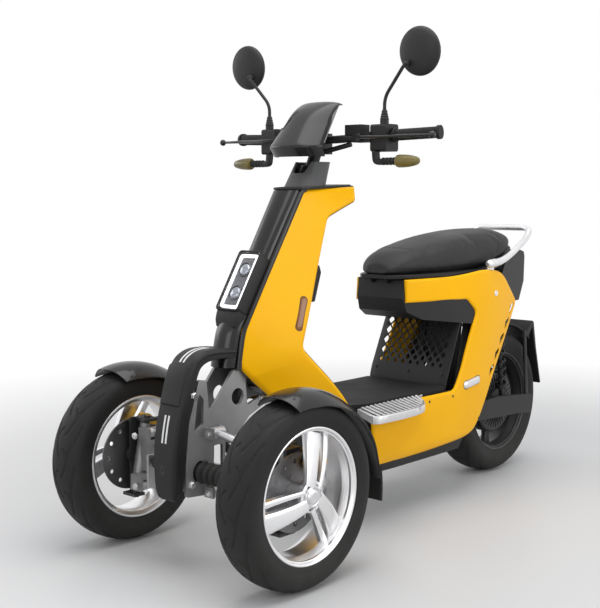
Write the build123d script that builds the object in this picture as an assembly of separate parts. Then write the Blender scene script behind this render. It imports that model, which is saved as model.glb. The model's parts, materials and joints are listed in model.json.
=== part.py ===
from build123d import *
import os
from math import cos, sin, tan, radians, sqrt

os.makedirs("parts", exist_ok=True)

# Electric tricycle, in millimetres. While it is built, Y = 0 is the front axle and +Y runs
# backwards; Z = 0 is the floor; +X is the rider's left. place() then moves the origin to the
# middle of the whole box, on the floor.

# ---- driving dimensions ---------------------------------------------------------------------
front_tyre_r = 236.5
front_tyre_w = 120.0
rear_tyre_r = 243.5
rear_tyre_w = 130.0
wheelbase = 1335.0
half_track = 313.5
rim_seat_r = 158.0            # where the tyre's bead sits
rim_lip_r = 169.5
fit_gap = 0.3                 # between pieces that are pressed or screwed together
pin_gap = 0.1                 # between a pin and its bore
wall = 4.0                    # plastic covers
steer_rake = 26.6             # steering column, degrees from upright
steer_y, steer_z = 342.0, 892.0   # a point of the steering axis
kingpin_in = 51.5             # kingpin inside the wheel's middle plane
kingpin_x = half_track - kingpin_in
kingpin_rake = 12.0
axle_r = 12.0
stem_r = 17.0
head_tube_r = 25.0
bar_r = 11.0
seat_hinge_y, seat_hinge_z = 722.0, 706.0
seat_hinge_r = 4.0
rear_overhang = 262.0         # rear axle to the tip of the mud flap
rear_end_y = wheelbase + rear_overhang
belly_z = 160.0               # underside of the floor pan
floor_z = 366.0               # top of the foot mat
mat_t = 14.0
mat_front_y, mat_rear_y = 402.0, 864.7
body_half = 168.0             # half width of the body at the floor

mid_y = (rear_end_y - front_tyre_r) / 2
parts = {}


# ---- helpers --------------------------------------------------------------------------------
def block(x0, x1, y0, y1, z0, z1):
    """An upright box between two corners."""
    return Pos((x0 + x1) / 2, (y0 + y1) / 2, (z0 + z1) / 2) * Box(x1 - x0, y1 - y0, z1 - z0)


def rod(a, b, r):
    """A round bar of radius r from a to b."""
    a, b = Vector(*a), Vector(*b)
    along = Plane(origin=a, z_dir=b - a)
    return along * Cylinder(r, (b - a).length, align=(Align.CENTER, Align.CENTER, Align.MIN))


def cone(a, b, r_a, r_b):
    """A round bar from a to b whose radius goes from r_a to r_b."""
    a, b = Vector(*a), Vector(*b)
    along = Plane(origin=a, z_dir=b - a)
    return along * Cone(r_a, r_b, (b - a).length, align=(Align.CENTER, Align.CENTER, Align.MIN))


def side_face(points, r=0.0):
    """A flat outline in the vertical plane of the vehicle, from (y, z) points."""
    flat = make_face(Plane.YZ * Polyline(*points, close=True))
    return fillet(flat.vertices(), r) if r else flat


def side_plate(points, x0, x1, r=0.0):
    """An outline of (y, z) points as a plate from x0 to x1."""
    return Pos(x0, 0, 0) * extrude(side_face(points, r), amount=x1 - x0, dir=(1, 0, 0))


def bent_tube(points, radii, r):
    """A round tube along straight runs joined by arcs."""
    path = FilletPolyline(*points, radius=radii)
    start = Plane(origin=path @ 0, z_dir=path % 0)
    return sweep(start * Circle(r), path=path)


def both_sides(piece):
    """The piece and its mirror image about the centre plane."""
    return [piece, mirror(piece, about=Plane.YZ)]


def fuse(*pieces):
    """Join pieces into one solid."""
    whole = pieces[0]
    for piece in pieces[1:]:
        whole = whole + piece
    return whole


def keep(name, *solids):
    """Collect the solids of a node."""
    parts.setdefault(name, []).extend(solids)


def steer_at(z, back=0.0, x=0.0):
    """A point of the steering axis at height z, moved back square to the axis."""
    rake = radians(steer_rake)
    y = steer_y + (z - steer_z) * tan(rake)
    return (x, y + back * cos(rake), z - back * sin(rake))


def kingpin_at(z, side=1, out=0.0, back=0.0):
    """A point of a kingpin's axis at height z."""
    y = (z - front_tyre_r) * tan(radians(kingpin_rake))
    return (side * (kingpin_x + out), y + back, z)


# ---- body surfaces ----------------------------------------------------------------------------
def column_front(z):
    """Y of the line where the column cover meets the yellow shield, at height z."""
    knee_z, knee_y = 599.0, 88.0
    slope = 0.625 if z > knee_z else 0.19
    return knee_y + (z - knee_z) * slope


def crowned_section(z, points, off):
    """Half of a body's outline at height z: a curve through (y, x) points, moved in by off."""
    curve = Spline(*[(x - off, y, z) for y, x in points])
    first, last = points[0], points[-1]
    back = Polyline((last[1] - off, last[0], z), (0, last[0], z), (0, first[0], z),
                    (first[1] - off, first[0], z))
    return make_face(Wire([curve] + list(back.edges())))


def envelope(levels, off=0.0):
    """A body's left half as straight-sided lofts between its outlines."""
    return loft([crowned_section(z, points, off) for z, points in levels], ruled=True)


def skin(outline, levels, thickness, r=0.0, inset=0.0):
    """A curved panel on the left: the outline of (y, z) points cut out of a body's surface."""
    prism = side_plate(outline, 1.0, 400.0, r)
    return prism & (envelope(levels, inset) - envelope(levels, inset + thickness))


column_half = 45.0
shield_front_x = column_half + wall + fit_gap


def shield_levels():
    """Outlines of the leg shield: front edge, crown and rear edge at each height."""
    rows = [(1010, 480, 62, 88), (760, 345, 72, 98), (600, 275, 82, 112), (520, 285, 92, 128),
            (440, 340, 92, 150), (330, 420, 84, 160)]
    out = []
    for z, y_rear, x_mid, x_rear in rows:
        y_front = column_front(z)
        y_mid = (y_front + y_rear) / 2
        out.append((z, [(y_front - 30, shield_front_x - 14), (y_front, shield_front_x),
                        (y_mid, x_mid), (y_rear, x_rear), (y_rear + 90, x_rear + 4)]))
    return out


def body_levels():
    """Outlines of the body around the floor and under the seat at each height."""
    low = [(380, 138), (500, 158), (700, body_half - 2), (900, body_half - 2), (1060, 152),
           (1400, 96)]
    mid = [(380, 148), (500, 164), (700, body_half), (900, body_half), (1060, 158), (1400, 106)]
    arm = [(380, 24), (560, 56), (734, 93), (850, 132), (960, 151), (1060, 156), (1400, 110)]
    top = [(380, 20), (560, 50), (734, 86), (850, 125), (960, 144), (1060, 149), (1400, 106)]
    return [(120, low), (250, mid), (400, mid), (560, arm), (650, arm), (780, top)]


# ---- frame, battery and front axle --------------------------------------------------------------
goose_inside = [(-107, 195), (-109, 275), (-97, 385), (-62, 490)]   # back of the guard
rail_x, rail_z, rail_r = 84.0, 186.0, 16.0
spine_r = 17.0
cross_r = 12.0
rear_rail_y = 985.0
seat_rail_z = 668.0
seat_rail_x = 66.0
tail_bar_y = 1405.2
shock_x = 92.0
bin_rear_y = 1066.0
pivot_y, pivot_z = 1010.0, 246.0          # swing arm pivot
cradle_x, cradle_t = 30.0, 9.0            # front cast frame: inside half width, plate thickness
arm_y = -18.0                             # tilt arms' pivot line
upper_in_z, upper_out_z = 352.0, 306.0
lower_in_z, lower_out_z = 200.0, 166.0
arm_r = 11.0
arm_eye_r = 15.0
arm_in_x = cradle_x + cradle_t + arm_eye_r + 2.0
spring_y, spring_z, spring_r = -54.0, 252.0, 26.0
spring_half = 150.0
pin_r = 7.0
kingpin_r = 9.0
carrier_r = 17.0                          # sleeve that the kingpin turns in
carrier_z0, carrier_z1 = 146.0, 326.0
arm_out_x = kingpin_x - carrier_r - arm_eye_r - 2.0


def make_main_frame():
    """Head tube, down tube, floor rails, rear uprights and seat rails, welded into one."""
    head = rod(steer_at(600), steer_at(930), head_tube_r)
    bore = rod(steer_at(560), steer_at(940), stem_r + pin_gap)
    down = bent_tube([(0, 242, 664), (0, 211, 556), (0, 330, 300), (0, 420, rail_z + 30)],
                     [80, 60], spine_r)
    frame = fuse(head, down, rod((-rail_x, 420, rail_z + 30), (rail_x, 420, rail_z + 30), 20))
    for side in (-1, 1):
        x = side * rail_x
        rail = bent_tube([(x, 410, rail_z + 30), (x, 470, rail_z), (x, rear_rail_y, rail_z),
                          (x, rear_rail_y + 45, 300), (x, 1085, 520),
                          (side * seat_rail_x, 1130, seat_rail_z)],
                         [30, 40, 60, 60], rail_r)
        seat_rail = rod((side * seat_rail_x, 1130, seat_rail_z),
                        (side * seat_rail_x, tail_bar_y, seat_rail_z + 10), rail_r - 4)
        frame = fuse(frame, rail, seat_rail, Pos(side * seat_rail_x, 1130, seat_rail_z)
                     * Sphere(rail_r))
    for y in (640, 850):
        frame = fuse(frame, rod((-rail_x, y, rail_z), (rail_x, y, rail_z), cross_r))
    cradle_bolt = cradle_x - fit_gap
    frame = fuse(frame, rod((-cradle_bolt, 270, 430), (cradle_bolt, 270, 430), 12))
    lug_y = rear_rail_y + 26
    frame = fuse(frame, rod((-rail_x, lug_y, pivot_z), (rail_x, lug_y, pivot_z), 20))
    frame = fuse(frame, rod((-seat_rail_x, tail_bar_y, seat_rail_z + 10),
                            (seat_rail_x, tail_bar_y, seat_rail_z + 10), 12))
    frame = fuse(frame, rod((-142, 1132, 690), (142, 1132, 690), 10))
    frame = fuse(frame, rod((-shock_x - 8, 1238, 654), (shock_x + 8, 1238, 654), 8))
    frame = fuse(frame, block(-90, 90, bin_rear_y + fit_gap, 1110, 590, 606))
    keep("main_frame", frame - bore)


def make_battery():
    """Battery pack between the floor rails, as one plain block."""
    half = rail_x - rail_r - 2 - fit_gap
    keep("battery", block(-half, half, 585, 905, rail_z + cross_r + fit_gap, floor_z - mat_t - 24))


def lug_pair(x0, x1, y, z, half, t):
    """Two upright ears across Y that hold a pin, with a gap of 2 * half between them."""
    near = block(x0, x1, y - half - t, y - half, z - 14, z + 14)
    far = block(x0, x1, y + half, y + half + t, z - 14, z + 14)
    return [near, far]


def make_front_subframe():
    """Cast cradle: two plates beside the steering stem that carry the tilt arms."""
    front = [(y + fit_gap, z) for y, z in goose_inside]
    outline = front + [(-36, 486), (-26, 400), (60, 500), (140, 522), (306, 452), (306, 405),
                       (200, 405), (120, 372), (74, 330), (30, 318), (30, 184)]
    plate = side_plate(outline, cradle_x, cradle_x + cradle_t, 7)
    spring_window = rod((cradle_x - 5, spring_y, spring_z),
                        (cradle_x + cradle_t + 5, spring_y, spring_z), spring_r + 5)
    hole = rod((cradle_x - 5, 76, 430), (cradle_x + cradle_t + 5, 76, 430), 22)
    plate = plate - spring_window - hole
    for window in ([(-12, 240), (20, 240), (20, 314), (-12, 314)],
                   [(112, 402), (170, 421), (166, 472), (130, 490), (106, 466)],
                   [(-80, 356), (-48, 374), (-46, 438), (-64, 460)]):
        plate = plate - side_plate(window, cradle_x - 5, cradle_x + cradle_t + 5, 6)
    for z in (upper_in_z, lower_in_z):
        for ear in lug_pair(cradle_x + cradle_t, arm_in_x + 15, arm_y, z, 21, 8):
            plate = plate + ear
        plate = plate + rod((arm_in_x, arm_y - 30, z), (arm_in_x, arm_y + 30, z), pin_r)
    whole = fuse(plate, mirror(plate, about=Plane.YZ))
    for y, z in ((-92, 330), (16, 206), (196, 430)):
        whole = whole + rod((-cradle_x - 2, y, z), (cradle_x + 2, y, z), 8)
    keep("front_subframe", whole)


def make_tilt_arms():
    """Upper and lower arms of the tilting parallelogram, each an eye, a bar and an eye."""
    for z_in, z_out in ((upper_in_z, upper_out_z), (lower_in_z, lower_out_z)):
        y_out = kingpin_at(z_out)[1]
        a, b = (arm_in_x, arm_y, z_in), (arm_out_x, y_out, z_out)
        arm = rod(a, b, arm_r)
        for x, y, z in (a, b):
            arm = arm + rod((x, y - 20.7, z), (x, y + 20.7, z), arm_eye_r)
            arm = arm - rod((x, y - 30, z), (x, y + 30, z), pin_r + pin_gap)
        if z_in == lower_in_z:
            z_arm = z_in + (z_out - z_in) * (spring_half - arm_in_x) / (arm_out_x - arm_in_x)
            lug = block(spring_half, spring_half + 8, spring_y - 16, -4, z_arm - 4, spring_z + 16)
            arm = arm + lug
        keep("tilt_arms", *both_sides(arm))


def make_tilt_spring():
    """Cross-wise spring unit in its rubber bellows, between the two lower arms."""
    end = spring_half - fit_gap
    body = rod((-end + 12, spring_y, spring_z), (end - 12, spring_y, spring_z), 12)
    rings = 15
    for i in range(rings):
        x = (i - (rings - 1) / 2) * 13.0
        body = body + rod((x - 3.5, spring_y, spring_z), (x + 3.5, spring_y, spring_z), spring_r)
    body = body + rod((-end, spring_y, spring_z), (end, spring_y, spring_z), 9)
    keep("tilt_spring", body)


def make_uprights():
    """Carriers at the arms' outer ends, with the sleeve that each kingpin turns in."""
    up = rod(kingpin_at(carrier_z0), kingpin_at(carrier_z1), carrier_r)
    mid_y = kingpin_at(front_tyre_r)[1]
    up = up + block(arm_out_x - 6, kingpin_x - 10, mid_y - 12, mid_y + 12, 200, 276)
    for z, turn in ((upper_out_z, -1), (lower_out_z, 1)):
        y = kingpin_at(z)[1]
        x0, x1 = arm_out_x - 14, kingpin_x - 6
        z0, z1 = sorted((z - turn * 14, z + turn * 30))
        low, high = sorted((z + turn * 17, z + turn * 30))
        up = up + block(x0, x1, y - 29, y - 21, z0, z1) + block(x0, x1, y + 21, y + 29, z0, z1)
        up = up + block(x0, x1, y - 29, y + 29, low, high)
        up = up + rod((arm_out_x, y - 29, z), (arm_out_x, y + 29, z), pin_r)
    up = up - rod(kingpin_at(carrier_z0 - 20), kingpin_at(carrier_z1 + 20), kingpin_r + pin_gap)
    keep("uprights", *both_sides(up))


# ---- column -----------------------------------------------------------------------------------
column_nose = 38.0
column_top_z = 968.0
column_low_z = 506.0


def column_section(z, off):
    """Rounded front of the column at height z, open towards the back."""
    y, half, nose = column_front(z), column_half - off, column_nose - off
    front = ThreePointArc((-half, y, z), (0, y - nose, z), (half, y, z))
    back = Polyline((half, y, z), (half, y + 26 + off, z), (-half, y + 26 + off, z), (-half, y, z))
    return make_face(Wire([front] + list(back.edges())))


def make_column_cover():
    """Black rounded cover down the front of the steering column."""
    heights = (column_low_z, 599.0, column_top_z)
    outer = loft([column_section(z, 0) for z in heights], ruled=True)
    inner = loft([column_section(z, wall) for z in (column_low_z - 20, 599.0, column_top_z + 20)],
                 ruled=True)
    keep("column_cover", outer - inner - headlight_solid(fit_gap))


lamp_half = 42.0
lens_half = lamp_half - 6
lamp_proud = 54.0


def headlight_solid(grow):
    """Head lamp box, its face leaning back with the column."""
    low, high = 656.0 - grow, 808.0 + grow
    y_low, y_high = column_front(low) - lamp_proud, column_front(high) - lamp_proud
    outline = [(y_low - grow, low), (y_high - grow, high), (y_high + 49, high + 2),
               (y_low + 49, low - 44), (y_low + 4 - grow, low - 40)]
    return side_plate(outline, -lamp_half - grow, lamp_half + grow)


def make_headlight():
    """Lamp housing with a sunk face, and the lens that lies in it."""
    box = headlight_solid(0)
    low, high = 668.0, 796.0
    face = column_front(low) - lamp_proud
    top = column_front(high) - lamp_proud
    sunk = [(face - 20, low), (top - 20, high), (top + 6, high), (face + 6, low)]
    keep("headlight_housing", box - side_plate(sunk, -lens_half, lens_half))
    glass = [(face + 0.5, low + fit_gap), (top - 0.2, high - fit_gap), (top + 5.7, high - fit_gap),
             (face + 6.0, low + fit_gap)]
    keep("headlight_lens", side_plate(glass, -lens_half + fit_gap, lens_half - fit_gap))


shield_outline = [(317, 968), (486, 977), (481, 938), (393, 893), (306, 683), (250, 545),
                  (352, 431), (396, 374), (300, 372), (200, 396), (112, 470), (74, 509),
                  (89, 599)]


def make_leg_shields():
    """Yellow side panels of the leg shield."""
    keep("leg_shields", *both_sides(skin(shield_outline, shield_levels(), wall, 7)))


def make_column_rear():
    """Black panel that faces the rider's knees, with the bag hook and its glove box."""
    outer = [(476, 966), (473, 940), (386, 897), (299, 686), (243, 547), (343, 432),
             (mat_front_y - 3, floor_z - 8)]
    inner = [(y - wall, z) for y, z in reversed(outer)]
    panel = side_plate(outer + inner, 0, 200) & envelope(shield_levels(), wall + fit_gap)
    hook = [(322, 752), (415, 757), (423, 736), (396, 655), (283, 655)]
    box = side_plate(hook, -28, 28, 5)
    whole = fuse(panel, mirror(panel, about=Plane.YZ), box)
    keep("column_rear_cover", whole)


neck_r = 54.0
neck_top_r = 50.0
neck_low_z, neck_high_z = 958.0, 1046.0


def make_neck_cover():
    """Lid over the leg shield with the tapered grey collar round the steering stem."""
    lid = [(310, 968.5), (487, 977.5), (487, 981.5), (309, 972.5)]
    half = side_plate(lid, 0, 200) & envelope([(920, shield_levels()[0][1])]
                                              + [(1010, shield_levels()[0][1])])
    collar = cone(steer_at(neck_low_z), steer_at(neck_high_z), neck_r, neck_top_r)
    whole = fuse(half, mirror(half, about=Plane.YZ), collar)
    bore = cone(steer_at(neck_low_z - 20), steer_at(neck_high_z + 20), neck_r - wall + 1,
                neck_top_r - wall - 1)
    under = block(-80, 80, 290, 520, 880, 966)
    keep("neck_cover", whole - bore - under)


# ---- gooseneck ----------------------------------------------------------------------------------
goose_half = 45.0


def make_front_shield():
    """Gooseneck guard that drops from the column in front of the axle."""
    outline = [(-148, 195), (-152, 275), (-138, 390), (-98, 515), (-75, 546), (-40, 562),
               (10, 564), (80, 556), (80, 510), (-15, 524), (-45, 515)] + goose_inside[::-1]
    guard = side_plate(outline, -goose_half, goose_half)
    side_edges = guard.edges().filter_by(Axis.X, reverse=True)
    guard = fillet(side_edges.filter_by(GeomType.LINE), 5)
    keep("front_shield", guard - column_outer(fit_gap))


def column_outer(grow):
    """The column cover's solid outline, grown by a clearance."""
    heights = (column_low_z - 30, 599.0, column_top_z)
    return loft([column_section(z, -grow) for z in heights], ruled=True)


# ---- floor and body sides ----------------------------------------------------------------------
panel_foot_y, panel_top_y = mat_rear_y + fit_gap, 948.0
panel_foot_z, panel_top_z = floor_z - mat_t, 555.0
side_outline = [(736, 700), (930, 702), (1085, 718), (1180, 707), (1222, 688), (1322, 596),
                (1241, 488), (1122, 329), (1046, 222), (990, 191), (752, 180), (512, 171),
                (484, 352), (893, 350), (931, 392), (1033, 584), (983, 627), (736, 629)]


def make_body_sides():
    """Yellow C-shaped side panels from the seat round to the floor."""
    panel = skin(side_outline, body_levels(), wall)
    slots = 5
    for i in range(slots):
        y, z = 1268 - i * 33, 575 - i * 44
        cut = side_plate([(y - 26, z + 12), (y + 14, z + 12), (y + 2, z - 18), (y - 34, z - 18)],
                         60, 200, 3)
        panel = panel - cut
    keep("body_sides", *both_sides(panel))


def plan_solid(points, z0, z1):
    """An upright solid from half a plan outline of (y, x) points, mirrored."""
    ring = [(x, y) for y, x in points] + [(-x, y) for y, x in reversed(points)]
    flat = make_face(Polyline(*ring, close=True))
    return Pos(0, 0, z0) * extrude(flat, amount=z1 - z0, dir=(0, 0, 1))


mat_half = 149.7


def make_floor_mat():
    """Foot mat on the step-through floor."""
    half = mat_half
    plan = [(mat_front_y, half - 40), (484, half), (mat_rear_y, half)]
    keep("floor_mat", plan_solid(plan, floor_z - mat_t, floor_z))


def make_belly_pan():
    """Black tray under the floor, open at the top."""
    top = floor_z - mat_t - fit_gap
    side = [(262, top), (268, 300), (318, 215), (430, belly_z), (940, belly_z), (976, 196),
            (976, top)]
    inside = [(267, 360), (273, 302), (322, 219), (432, belly_z + wall), (938, belly_z + wall),
              (972, 198), (972, 360)]
    plan = [(250, 50), (300, 62), (350, 84), (420, 128), (484, 149), (600, 155), (900, 155),
            (980, 150)]
    inner_plan = [(y, x - wall) for y, x in plan]
    outer = side_plate(side, -200, 200) & plan_solid(plan, 100, 400)
    hollow = side_plate(inside, -200, 200) & plan_solid(inner_plan, 100, 400)
    gate = block(-rail_x - rail_r - 4, -rail_x + rail_r + 4, 944, 990, rail_z - rail_r - 4,
                 rail_z + 60)
    keep("belly_pan", outer - hollow - gate - mirror(gate, about=Plane.YZ))


def make_seat_front_panel():
    """Lattice panel below the seat's nose, between the body sides."""
    t = 5.0
    slab = side_plate([(panel_foot_y, panel_foot_z), (panel_foot_y + t, panel_foot_z),
                       (panel_top_y + t, panel_top_z), (panel_top_y, panel_top_z)], 0, 300)
    half = slab & envelope(body_levels(), wall + fit_gap)
    panel = fuse(half, mirror(half, about=Plane.YZ))
    rise, run = panel_top_z - panel_foot_z, panel_top_y - panel_foot_y
    length = sqrt(rise ** 2 + run ** 2)
    face = Plane(origin=(0, panel_foot_y, panel_foot_z), x_dir=(1, 0, 0),
                 z_dir=(0, -rise / length, run / length))
    holes = []
    rows, columns, pitch_x, pitch_v = 4, 7, 34.0, 36.0
    first_row = 58.0
    for row in range(rows):
        shift = 0.5 if row % 2 else 0.0
        for column in range(columns - (1 if row % 2 else 0)):
            u = (column - (columns - 1) / 2 + shift) * pitch_x
            v = first_row + row * pitch_v
            holes.append(face * Pos(u, v, 0) * Polyline((-13, 0), (0, 15), (13, 0), (0, -15),
                                                        close=True))
    for hole in holes:
        panel = panel - extrude(make_face(hole), amount=12, both=True)
    keep("seat_front_panel", panel)


def make_foot_plates():
    """Silver ribbed plates for the feet, on the body's edge."""
    low = 352.0 + fit_gap
    flat = [(150, 446), (227, 428), (222, 650), (203, 692), (150, 745)]
    plate = Pos(0, 0, low) * extrude(make_face(Polyline(*flat, close=True)), amount=7,
                                     dir=(0, 0, 1))
    lip = Polyline((220, 430), (227, 428), (222, 650), (215, 668), close=True)
    plate = plate + Pos(0, 0, low - 26) * extrude(make_face(lip), amount=30, dir=(0, 0, 1))
    keep("foot_plates", *both_sides(plate))


def make_pillion_pegs():
    """Folded pegs of the passenger, silver ovals on the body side."""
    low, high = (972, 352), (1068, 370)
    bar = rod((140, *low), (140, *high), 12)
    oval = side_plate([(low[0] - 4, low[1] - 12), (high[0] - 4, high[1] - 12),
                       (high[0] + 8, high[1]), (high[0] + 4, high[1] + 12),
                       (low[0] + 4, low[1] + 12), (low[0] - 8, low[1])], 120, 177, 4)
    keep("pillion_pegs", *both_sides(oval - envelope(body_levels(), -fit_gap)))


# ---- under the seat -----------------------------------------------------------------------------
bin_outline = [(737, 697), (729, 642), (745, 600), (800, 575), (1010, 548),
               (bin_rear_y, 548), (bin_rear_y, 697)]
bin_inside = [(742, 720), (734, 643), (749, 606), (802, 580), (1010, 552.5),
              (bin_rear_y - 4, 552.5), (bin_rear_y - 4, 720)]


def make_underseat_bin():
    """Open bin below the seat, with the ears of the seat's hinge."""
    inset = wall + fit_gap
    outer = side_plate(bin_outline, 0, 300) & envelope(body_levels(), inset)
    hollow = side_plate(bin_inside, 0, 300) & envelope(body_levels(), inset + wall)
    whole = fuse(outer, mirror(outer, about=Plane.YZ)) - fuse(hollow, mirror(hollow,
                                                                          about=Plane.YZ))
    pin = rod((-34, seat_hinge_y, seat_hinge_z), (34, seat_hinge_y, seat_hinge_z), seat_hinge_r)
    whole = whole + pin
    for x in (-34, 26):
        ear = side_plate([(seat_hinge_y - 4.2, seat_hinge_z + 4.2),
                          (seat_hinge_y - 6, seat_hinge_z), (seat_hinge_y - 6, 700),
                          (731, 686), (739, 686), (739, seat_hinge_z)], x, x + 8)
        whole = whole + ear
    keep("underseat_bin", whole)


seat_base_z, seat_pad_z = 702.0, 712.0


def seat_plan(off):
    """Half outline of the seat from nose to tail, moved in by off."""
    points = [(703, 30), (710, 58), (740, 84), (800, 108), (880, 126), (980, 135), (1100, 130),
              (1200, 122), (1300, 104), (1345, 84), (1378, 58), (1388, 28)]
    return [(y + (off if i < 2 else -off if i > 9 else 0), x - off)
            for i, (y, x) in enumerate(points)]


def seat_under(rise):
    """Line of the seat's underside, which climbs towards the tail, rise above its lowest."""
    line = [(690, 0), (1120, 0), (1200, 10), (1300, 36), (1396, 71)]
    return [(y, seat_base_z + z + rise) for y, z in line]


def make_seat():
    """Seat base on its front hinge, and the cushion as one plain pad."""
    base_t = seat_pad_z - seat_base_z
    slab = side_plate(seat_under(0) + seat_under(base_t)[::-1], -200, 200)
    base = plan_solid(seat_plan(10), seat_base_z, 860) & slab
    barrel = rod((-25.5, seat_hinge_y, seat_hinge_z), (25.5, seat_hinge_y, seat_hinge_z), 6)
    bore = rod((-40, seat_hinge_y, seat_hinge_z), (40, seat_hinge_y, seat_hinge_z),
               seat_hinge_r + pin_gap)
    notch = block(24, 36, 690, 745, 690, seat_pad_z)
    keep("seat_base", fuse(base, barrel) - bore - notch - mirror(notch, about=Plane.YZ))
    side = [(701, 742), (736, 770), (800, 788), (876, 802), (1025, 825), (1184, 838),
            (1320, 834), (1370, 822), (1392, 800)]
    pad = plan_solid(seat_plan(0), seat_pad_z, 860)
    keep("seat_cushion", pad & side_plate(side + seat_under(base_t + fit_gap)[::-1], -200, 200))


# ---- tail ----------------------------------------------------------------------------------------
rail_tube_r = 11.0
rack_y, rack_z = 1432.0, 838.0


def make_grab_rail():
    """Silver tube round the back of the seat, with its two feet."""
    side = [(148, 1100, 731), (148, 1200, 737), (120, 1385, 803), (106, rack_y, rack_z)]
    path = side + [(-x, y, z) for x, y, z in reversed(side)]
    tube = bent_tube(path, [60, 60, 38, 38, 60, 60], rail_tube_r)
    for x in (-1, 1):
        x0, x1 = sorted((x * 136, x * 142))
        tube = tube + block(x0, x1, 1112, 1150, 700 + fit_gap, 734)
    keep("grab_rail", tube)


def make_tail():
    """Tail cover below the seat's end, and the lamp on its back."""
    outer = [(1282, 690), (1300, 726), (1396, 764), (1418, 758), (1424, 742), (1421, 656),
             (1392, 592), (1300, 584), (1282, 598)]
    inner = [(1276, 800), (1408, 800), (1420, 740), (1417, 657), (1389, 596), (1302, 588),
             (1260, 622), (1260, 690)]
    keep("tail_unit", side_plate(outer, -92, 92) - side_plate(inner, -88, 88))
    lens = [(1421.4, 658), (1431, 658), (1434, 740), (1424.3, 740)]
    keep("tail_light", side_plate(lens, -62, 62))


swing_in_x = rail_x + rail_r + 2
swing_t = 18.0
axle_z = rear_tyre_r


def make_swingarm():
    """Rear fork from its pivot to the wheel's axle, with the cover on its left."""
    whole = rod((-swing_in_x - swing_t, wheelbase, axle_z), (swing_in_x + swing_t, wheelbase,
                                                             axle_z), axle_r)
    for side in (-1, 1):
        x0, x1 = sorted((side * swing_in_x, side * (swing_in_x + swing_t)))
        arm = side_plate([(pivot_y - 24, pivot_z + 22), (pivot_y - 24, pivot_z - 22),
                          (1200, 212), (wheelbase + 30, 205), (wheelbase + 103, 196),
                          (wheelbase + 117, 250), (wheelbase + 105, 262), (1216, 282)], x0, x1, 6)
        eye = rod((x0, pivot_y, pivot_z), (x1, pivot_y, pivot_z), 10 + pin_gap)
        arm = arm - eye
        near = side * (shock_x - 8)
        arm = arm + rod((near, 1290, 262), (x0 if side > 0 else x1, 1290, 262), 8)
        whole = whole + arm
        whole = whole + rod((side * (swing_in_x + 6), wheelbase + 90, 240),
                            (side * 73.3, wheelbase + 127, 478), 7)
    keep("swingarm", whole)


def make_rear_shocks():
    """Spring struts between the fork and the seat rails."""
    low, high = (shock_x, 1290, 262), (shock_x, 1238, 654)
    bar = rod(low, high, 9)
    along = Vector(*high) - Vector(*low)
    coils = 11
    for i in range(coils):
        a = Vector(*low) + along * (0.14 + i * 0.055)
        b = a + along * 0.026
        bar = bar + rod(tuple(a), tuple(b), 20)
    can = Vector(*low) + along * 0.78
    bar = bar + rod(tuple(can), tuple(Vector(*low) + along * 0.93), 16)
    for x, y, z in (low, high):
        bar = bar + rod((x - 8 + fit_gap, y, z), (x + 8, y, z), 14)
        bar = bar - rod((x - 30, y, z), (x + 30, y, z), 8 + pin_gap)
    keep("rear_shocks", *both_sides(bar))


plate_lean = radians(43.4)                # number plate bracket, from level
plate_length, plate_t = 74.3, 6.0


def make_rear_fender():
    """Hugger over the rear tyre, its plate bracket and the mud flap."""
    r0 = rear_tyre_r + 22
    t = 4.0
    ring = Plane.YZ * (Circle(r0 + t) - Circle(r0))
    arch = Pos(-66, wheelbase, axle_z) * extrude(ring, amount=132, dir=(1, 0, 0))
    arch = arch & block(-100, 100, wheelbase - 70, wheelbase + 176, axle_z + 60, axle_z + 400)
    y = wheelbase
    tail = side_plate([(y + 155, 462), (y + 159, 470), (y + 200, 505), (y + 208, 499),
                       (y + 226, 410), (rear_end_y, 278), (rear_end_y - 4, 274),
                       (y + 218, 408), (y + 198, 487), (y + 173, 450)], -64, 64)
    along, out = (cos(plate_lean), -sin(plate_lean)), (sin(plate_lean), cos(plate_lean))
    top = (y + 198, 500)
    corners = [(0, 0), (plate_length, 0), (plate_length, plate_t), (0, plate_t)]
    plate = side_plate([(top[0] + s * along[0] + d * out[0], top[1] + s * along[1] + d * out[1])
                        for s, d in corners], -36, 36)
    fender = fuse(arch, tail, plate)
    half = plate_length / 2
    mid = (top[0] + half * along[0], top[1] + half * along[1])
    for x in (-25, 25):
        fender = fender - rod((x, mid[0] - 5 * out[0], mid[1] - 5 * out[1]),
                              (x, mid[0] + 12 * out[0], mid[1] + 12 * out[1]), 3)
    keep("rear_fender", fender)


# ---- handlebar ----------------------------------------------------------------------------------
bar_y, bar_z = 450.0, 1108.0              # middle of the handlebar
grip_r = 16.0
grip_in = (238.0, 484.0, 1116.0)
grip_out = (366.0, 512.0, 1121.0)
stem_low_z, stem_high_z = 322.0, 1080.0
pitman_y = 96.0
mirror_y = 469.0
mirror_head = (317.0, 486.0, 1334.0)
mirror_r = 65.0
track_y, track_z = 66.0, 236.0            # tie rod joints


def bar_point(s):
    """A point of the straight outer stretch of the handlebar, s = 0 at the grip's inner end."""
    a, b = Vector(*grip_in), Vector(*grip_out)
    return tuple(a + (b - a) * s)


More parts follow.
